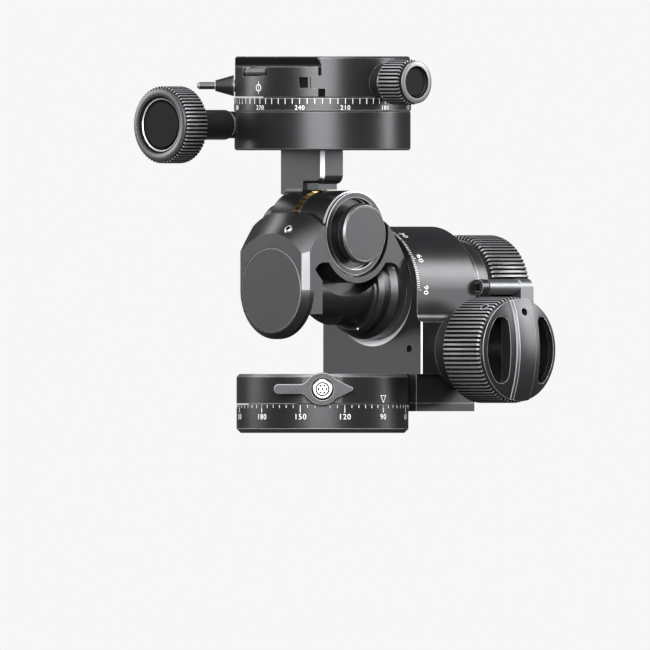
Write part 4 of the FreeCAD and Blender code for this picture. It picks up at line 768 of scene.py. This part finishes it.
def clamp_knob_grooves():
    """Clamp knob: flutes, a groove, a smooth ring, and a seat for its insert."""
    low, high = span("clamp_knob", X)
    start, end = low / MM, high / MM
    bore, insert = 2.7, 4.7
    groove_r, groove_in, groove_out = 6.6, end - 1.9, end - 1.1
    ring_r, face_out, face_in, seat_out = 7.2, 7.0, 5.5, 5.0
    seat_floor = end - 2.0
    line = (Vector((0, 0, CLAMP_SCREW[0].z)), X)
    rings, turns = fluted_rings(CLAMP_KNOB_R, CLAMP_KNOB_FLUTES, SMALL_FLUTE, [
        (start, 0.6), (start + 0.5, 0.0), (end - 2.2, 0.0), (groove_in, 0.6)])
    # The groove, the ring's side and its inner edge get painted shade; the ring's face takes the crest finish, a
    # painted highlight.
    groove = [(groove_in, groove_r, SHADE), (groove_out, groove_r, SHADE)]
    ring = [(groove_out, ring_r, SHADE), (end - 0.2, ring_r, CREST), (end, face_out, CREST),
            (end, face_in, SHADE)]
    seat = [(end - 0.7, seat_out, MAIN), (seat_floor, insert, MAIN), (seat_floor, bore, MAIN)]
    mesh = lathe(line, [(start, bore, MAIN)] + rings + groove + ring + seat, turns, Y,
                 FLUTED_SHARP)
    piece = put("clamp_knob_fluted", mesh, "clamp_knob", "black_knob", KNOB, EDGE_HIGHLIGHT, SHADE_BLACK, RIDGE_HIGHLIGHT)
    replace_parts(piece, "clamp_knob")


# ---- screws -----------------------------------------------------------------------------
def lever_screw():
    """Screw of the pan lock: a collar on a black washer, and a star button in its recess."""
    lever_foot, lever, head = 29.15, 2.6, 1.5
    line = (Vector((0, 0, PAN_LOCK[0].z)), CORNER)
    shank_r, washer_r, collar_r, chamfer = 2.4, 3.65, 3.3, 0.3
    face = lever_foot + lever + head
    under = face - 1.4              # top of the washer, foot of the collar
    groove_floor = face - 0.6
    rim = face - 0.15               # top of the rim round the recess
    floor = face - 1.0              # of the recess
    top = face - 0.2                # of the button
    button = star(1.5, 6, 0.42)
    shank = [(face - 9.0, shank_r, MAIN), (face - head, shank_r, MAIN)]
    washer = [(face - head, washer_r, HOLLOW), (under, washer_r, HOLLOW)]
    collar = [(under, collar_r, MAIN), (face - chamfer, collar_r, MAIN),
              (face, collar_r - chamfer, MAIN)]
    # The groove, the recess, and the button's sides and middle get painted shade.
    groove = [(face, 2.4, HOLLOW), (groove_floor, 2.3, HOLLOW), (groove_floor, 1.95, MAIN)]
    recess = [(rim, 1.9, MAIN), (rim, 1.6, HOLLOW), (floor, 1.55, HOLLOW)]
    middle = [(floor, button, HOLLOW), (top, button, MAIN), (top, 0.4, HOLLOW),
              (face - 0.8, 0.35, HOLLOW)]
    mesh = lathe(line, shank + washer + collar + groove + recess + middle, 96, Z)
    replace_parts(put("lever_screw", mesh, "pan_lock", "steel", STEEL, SHADE_BLACK), "pan_lever_screw")


def cone_screw():
    """Set screw in the front cone of the cradle."""
    low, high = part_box("cradle_setscrew")
    line = ((low + high) / 2, Vector((0, -1, 1)).normalized())
    face, radius, mouth, chamfer, key_depth = 1.75, 1.66, 1.35, 0.3, 0.9
    key = star(1.0, 6, 0.14)
    # The key socket gets painted shade.
    rings = [(-face, radius, MAIN), (face - chamfer, radius, MAIN), (face, mouth, MAIN),
             (face, key, HOLLOW), (face - key_depth, key, HOLLOW)]
    mesh = lathe(line, rings, 72, X)
    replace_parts(put("cone_screw", mesh, "cradle", "steel", STEEL, SHADE_BLACK), "cradle_setscrew")


# ---- dressed copies of the solids -------------------------------------------------------
# Widths of the broken edges
BEVELS = {
    "base_ring": 0.12, "pan_body": 0.14, "pan_cap": 0.1, "pan_lever": 0.3, "tilt_housing": 0.5,
    "bottom_cover": 0.16, "rear_cover": 0.16, "worm_1_carrier": 0.1, "tilt_lock_rod": 0.16,
    "tilt_lock_tab": 0.2, "drum_1": 0.16, "cradle": 0.2, "front_cover": 0.08, "yoke": 0.2,
    "yoke_drum": 0.2, "axle_cap_right": 0.1, "axle_cap_left": 0.1, "rotator_base": 0.14,
    "scale_ring": 0.08, "worm_3_sleeve": 0.25, "clamp_base": 0.14, "clamp_jaw": 0.14,
    "rotator_lock": 0.1, "knob_1_grip": 0.22, "level_ends": 0.05,
}
SMOOTHED = ("knob_2_insert", "rotator_knob_insert", "clamp_knob_insert", "level_vial",
            "worm_wheel_2", "cover_screws")
# Nodes whose finish isn't the usual one of their slot; the tilt lock's rod and tab get a lighter black, a painted
# sheen.
OTHER_FINISHES = {
    "drum_1": INSERT, "worm_1_carrier": INSERT, "rotator_knob_insert": FACE,
    "clamp_knob_insert": FACE, "tilt_lock_rod": SHEEN, "tilt_lock_tab": SHEEN,
}

# How far a face turns to a direction, as (least, most) of the cosine
SLANTED, SQUARE, LEVEL, FACING = (0.3, 0.95), (0.93, 1.1), (0.8, 1.1), (0.99, 1.1)
# Faces with another finish: (direction, how far they turn to it, finish, least area if any). The lighter finishes
# are painted highlights and sheen on chamfers and on faces turned to the view's corner; the darker ones are
# painted shade on undercuts, gaps, end faces and level faces.
REFINISHED = {
    "base_ring": [(Z, SLANTED, SOFT_HIGHLIGHT)],
    "pan_body": [(Z, SLANTED, SOFT_HIGHLIGHT), (Z, FACING, LEVEL_SHADE)],
    "pan_cap": [(Z, FACING, LEVEL_SHADE)],
    "rotator_base": [(Z, SLANTED, SOFT_HIGHLIGHT)],
    "scale_ring": [(Z, SLANTED, SHADE)],
    "axle_cap_right": [(X, SLANTED, SOFT_HIGHLIGHT)],
    "axle_cap_left": [(X, SLANTED, SOFT_HIGHLIGHT)],
    "drum_1": [(Y, SLANTED, HIGHLIGHT)],
    "yoke_drum": [(X, SLANTED, HIGHLIGHT)],
    "cradle": [(CORNER, SQUARE, SOFT_HIGHLIGHT, 12.0)],
    "yoke": [(CORNER, SQUARE, HIGHLIGHT)],
    # The housing's mouth chamfer and corner flat get the pale finish: painted highlight.
    "tilt_housing": [(Y, (0.6, 0.8), PALE_HIGHLIGHT), (CORNER, (0.9, 1.1), PALE_HIGHLIGHT)],
    "tilt_lock_rod": [(Y, (0.3, 1.1), SHADE)],
    "clamp_base": [(Z, LEVEL, LEVEL_SHADE), (Z, SLANTED, SHADE, 4.0)],
    "clamp_jaw": [(Z, LEVEL, LEVEL_SHADE), (Z, SLANTED, SHADE, 4.0)],
    "pan_lever": [(CORNER, (0.2, 0.97), SOFT_HIGHLIGHT)],
}

# The small square pocket in the side of the clamp: where it is round the clamp, from its
# floor to the outside, half its width, and its heights over the clamp's foot
POCKET_TURN = -57.5
POCKET_DEPTH = (26.8, 29.3)
POCKET_HALF = 1.56
POCKET_HEIGHT = (2.8, 6.7)

# The flat on the housing's upright corner; shorter edges than this keep their corner
CORNER_FLAT = 0.38
CORNER_EDGE = 12

# Welding a solid's mesh: points closer than this become one, and so do faces that turn
# less than this, in degrees
MERGE = 0.004
ONE_FACE = 0.4


def refinish(mesh, direction, turned, finish, area=0.0):
    """Gives a finish to the faces of at least that area that turn so far to a direction."""
    least, most = turned
    for face in mesh.polygons:
        if least < abs(face.normal.dot(direction)) < most and face.area >= area * MM * MM:
            face.material_index = finish


def darken_pocket(mesh):
    """Paints shade in the small pocket in the side of the clamp: its faces inside get the near-black finish."""
    foot = span("clamp_base", Z)[0]
    angle = math.radians(POCKET_TURN)
    out = Vector((math.cos(angle), math.sin(angle), 0))
    floor, outside = (depth * MM for depth in POCKET_DEPTH)
    low, high = (foot + height * MM for height in POCKET_HEIGHT)
    for face in mesh.polygons:
        place = face.center - PAN[0]
        beside = abs(place.cross(out).z) < POCKET_HALF * MM
        deep = place.dot(out) > floor and place.xy.length < outside
        if beside and deep and low < face.center.z < high:
            face.material_index = SHADE


def chamfer_corner(form):
    """Cuts a flat on the housing's upright front corner, on the side of the gear knob."""
    corner = []
    for edge in form.edges:
        low, high = (v.co for v in edge.verts)
        upright = abs((high - low).normalized().z) > 0.999
        if upright and edge.calc_length() > CORNER_EDGE * MM and len(edge.link_faces) == 2:
            facing = sum((f.normal for f in edge.link_faces), Vector()).normalized()
            if facing.dot(CORNER) > 0.99:
                corner.append(edge)
    bmesh.ops.bevel(form, geom=corner, offset=CORNER_FLAT * MM, offset_type="OFFSET",
                    segments=1, affect="EDGES", clamp_overlap=False)


def welded(node):
    """A welded copy of a solid's mesh, its flat faces whole."""
    mesh = frame["nodes"][node].data.copy()
    mesh.materials.clear()
    form = bmesh.new()
    form.from_mesh(mesh)
    bmesh.ops.remove_doubles(form, verts=form.verts, dist=MERGE * MM)
    bmesh.ops.dissolve_degenerate(form, edges=form.edges, dist=MERGE * MM / 4)
    bmesh.ops.dissolve_limit(form, angle_limit=math.radians(ONE_FACE), verts=form.verts,
                             edges=form.edges)
    if node == "tilt_housing":
        chamfer_corner(form)
    form.to_mesh(mesh)
    form.free()
    return mesh


def dressed(node, finish, width):
    """A copy of a solid with its sharp edges broken; the broken edges get a painted highlight."""
    piece = make_object(node + "_form", welded(node), finish, EDGE_HIGHLIGHT, SHADE_BLACK, SHEEN, DECK_SHADE, PALE_SHINE)
    if width:
        bevel = piece.modifiers.new("broken_edges", "BEVEL")
        bevel.width = width * MM
        bevel.segments = 2
        bevel.limit_method = "ANGLE"
        bevel.angle_limit = math.radians(BROKEN)
        # The broken edges take the pale edge finish: painted highlight.
        bevel.material = HIGHLIGHT
        bevel.harden_normals = False
        bevel.use_clamp_overlap = True
    mesh = evaluated(piece)
    smooth(mesh, DRESSED_SHARP)
    for rule in REFINISHED.get(node, ()):
        refinish(mesh, *rule)
    if node == "clamp_base":
        darken_pocket(mesh)
    shaded = make_object(node + "_shaded", mesh)
    weight = shaded.modifiers.new("flat_faces", "WEIGHTED_NORMAL")
    weight.keep_sharp = True
    weight.weight = 80
    return evaluated(shaded)


def dress_nodes():
    """Every node gets its finish; the ones that show get broken edges as well."""
    slots = {s["node"]: s["material_slot"] for s in frame["record"]["subparts"]}
    finishes = {name: SLOT_FINISHES[slot] for name, slot in slots.items()}
    finishes.update(OTHER_FINISHES)
    bodies = frame["record"]["behaviour"]["bodies"]
    homes = {name: body for body, names in bodies.items() for name in names}
    for name, node in frame["nodes"].items():
        node.data.materials.clear()
        node.data.materials.append(finishes[name])
        if name in BEVELS or name in SMOOTHED:
            mesh = dressed(name, finishes[name], BEVELS.get(name, 0.0))
            piece = put(name + "_dressed", mesh, homes[name], slots[name])
            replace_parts(piece, name)


# ---- studio -----------------------------------------------------------------------------
PALE = rgb(0.93, 0.93, 0.94)
FLOOR_HALF = 1.6        # metres
SKY = rgb(0.80, 0.86, 0.95)
SKY_STRENGTH = 0.12

# Lamps round the object, by where their highlights fall: (name, azimuth, height, distance,
# width, tall, watts), in degrees and metres.  The front box lights the faces at the view's
# corner, the side boxes the flanks of the round parts, the key box their shoulders.
LAMP_AIM = Vector((0, 0, 0.07))
LAMPS = (
    ("left_box", -147, 13, 1.2, 0.60, 0.55, 8.5),
    ("front_box", -48, 13, 1.2, 0.90, 0.50, 23.0),
    ("right_box", 50, 9, 1.2, 0.35, 0.40, 5.5),
    ("right_bar", 54, 24, 1.2, 0.7, 0.30, 9.5),
    ("mouth_box", 182, 42, 1.1, 0.30, 0.2, 1.5),
    ("key_box", -62, 50, 1.1, 0.5, 0.4, 7.0),
    ("top_box", -45, 80, 1.0, 0.6, 0.3, 8.0),
)

# The view: level, from the corner between +X and -Y, without perspective; in metres
VIEW_WIDTH = 0.2192
VIEW_AIM_Z = 0.0364
VIEW_AIM_SIDE = 0.00084
VIEW_DISTANCE = 3.0


def floor_finish():
    """Pale to the camera, more so at a slant, and dim to everything else."""
    m = Shader("pale_floor")
    seen = m.node("LightPath")["Is Camera Ray"]
    glow = m.node("Emission", None, PALE, 1.0)
    plain = m.node("BsdfDiffuse", None, Color=rgb(0.8, 0.8, 0.81))
    dim = m.node("BsdfDiffuse", None, Color=rgb(0.10, 0.10, 0.105))
    slant = m.node("LayerWeight", None, Blend=0.5)["Facing"]
    head_on, more, from_slant, rate = 0.55, 0.45, 0.15, 1.6
    share = ((slant - from_slant) * rate).clamped() * more + head_on
    pale = m.node("MixShader", None, share, plain["BSDF"], glow["Emission"])
    both = m.node("MixShader", None, seen, dim["BSDF"], pale["Shader"])
    m.node("OutputMaterial", None, both["Shader"])
    return m.material


def pale_floor():
    size = FLOOR_HALF
    mesh = bpy.data.meshes.new("floor")
    mesh.from_pydata([(-size, -size, 0), (size, -size, 0), (size, size, 0), (-size, size, 0)],
                     [], [(0, 1, 2, 3)])
    plane = make_object("floor", mesh, floor_finish())


def surroundings():
    """Pale to the camera, a faint cool light to everything else."""
    world = bpy.data.worlds.new("studio")
    bpy.context.scene.world = world
    world.use_nodes = True
    nodes = world.node_tree.nodes
    links = world.node_tree.links
    nodes.clear()
    backs = []
    for colour, strength in ((SKY, SKY_STRENGTH), (PALE, 1.0)):
        back = nodes.new("ShaderNodeBackground")
        back.inputs["Color"].default_value = colour
        back.inputs["Strength"].default_value = strength
        backs.append(back)
    rays = nodes.new("ShaderNodeLightPath")
    mix = nodes.new("ShaderNodeMixShader")
    out = nodes.new("ShaderNodeOutputWorld")
    sources = [rays.outputs["Is Camera Ray"]] + [back.outputs[0] for back in backs]
    for source, socket in zip(sources, mix.inputs):
        links.new(source, socket)
    links.new(mix.outputs[0], out.inputs[0])


def soft_box(name, azimuth, height, far, width, tall, power):
    """A rectangular lamp that is turned to the object."""
    turn, rise = math.radians(azimuth), math.radians(height)
    place = LAMP_AIM + far * Vector((math.cos(turn) * math.cos(rise),
                                     math.sin(turn) * math.cos(rise), math.sin(rise)))
    data = bpy.data.lights.new(name, "AREA")
    data.shape = "RECTANGLE"
    data.size, data.size_y = width, tall
    data.energy = power
    lamp = bpy.data.objects.new(name, data)
    bpy.context.scene.collection.objects.link(lamp)
    lamp.location = place
    lamp.rotation_euler = (LAMP_AIM - place).to_track_quat("-Z", "Y").to_euler()


def camera():
    data = bpy.data.cameras.new("camera")
    data.type = "ORTHO"
    data.ortho_scale = VIEW_WIDTH
    data.clip_start, data.clip_end = 0.01, 20
    eye = bpy.data.objects.new("camera", data)
    bpy.context.scene.collection.objects.link(eye)
    side = Vector((1, 1, 0)).normalized()
    eye.location = side * VIEW_AIM_SIDE + Z * VIEW_AIM_Z + CORNER * VIEW_DISTANCE
    eye.rotation_euler = (-CORNER).to_track_quat("-Z", "Y").to_euler()
    bpy.context.scene.camera = eye


bpy.context.scene.view_settings.view_transform = "Standard"
pale_floor()
surroundings()
for lamp in LAMPS:
    soft_box(*lamp)
camera()
dress_nodes()
knob_1_grooves()
knob_1_set_screw()
knob_2_grooves()
rotator_knob_grooves()
clamp_knob_grooves()
lever_screw()
cone_screw()
print_scales()
clamp_index()
pan_index()
tilt_index()
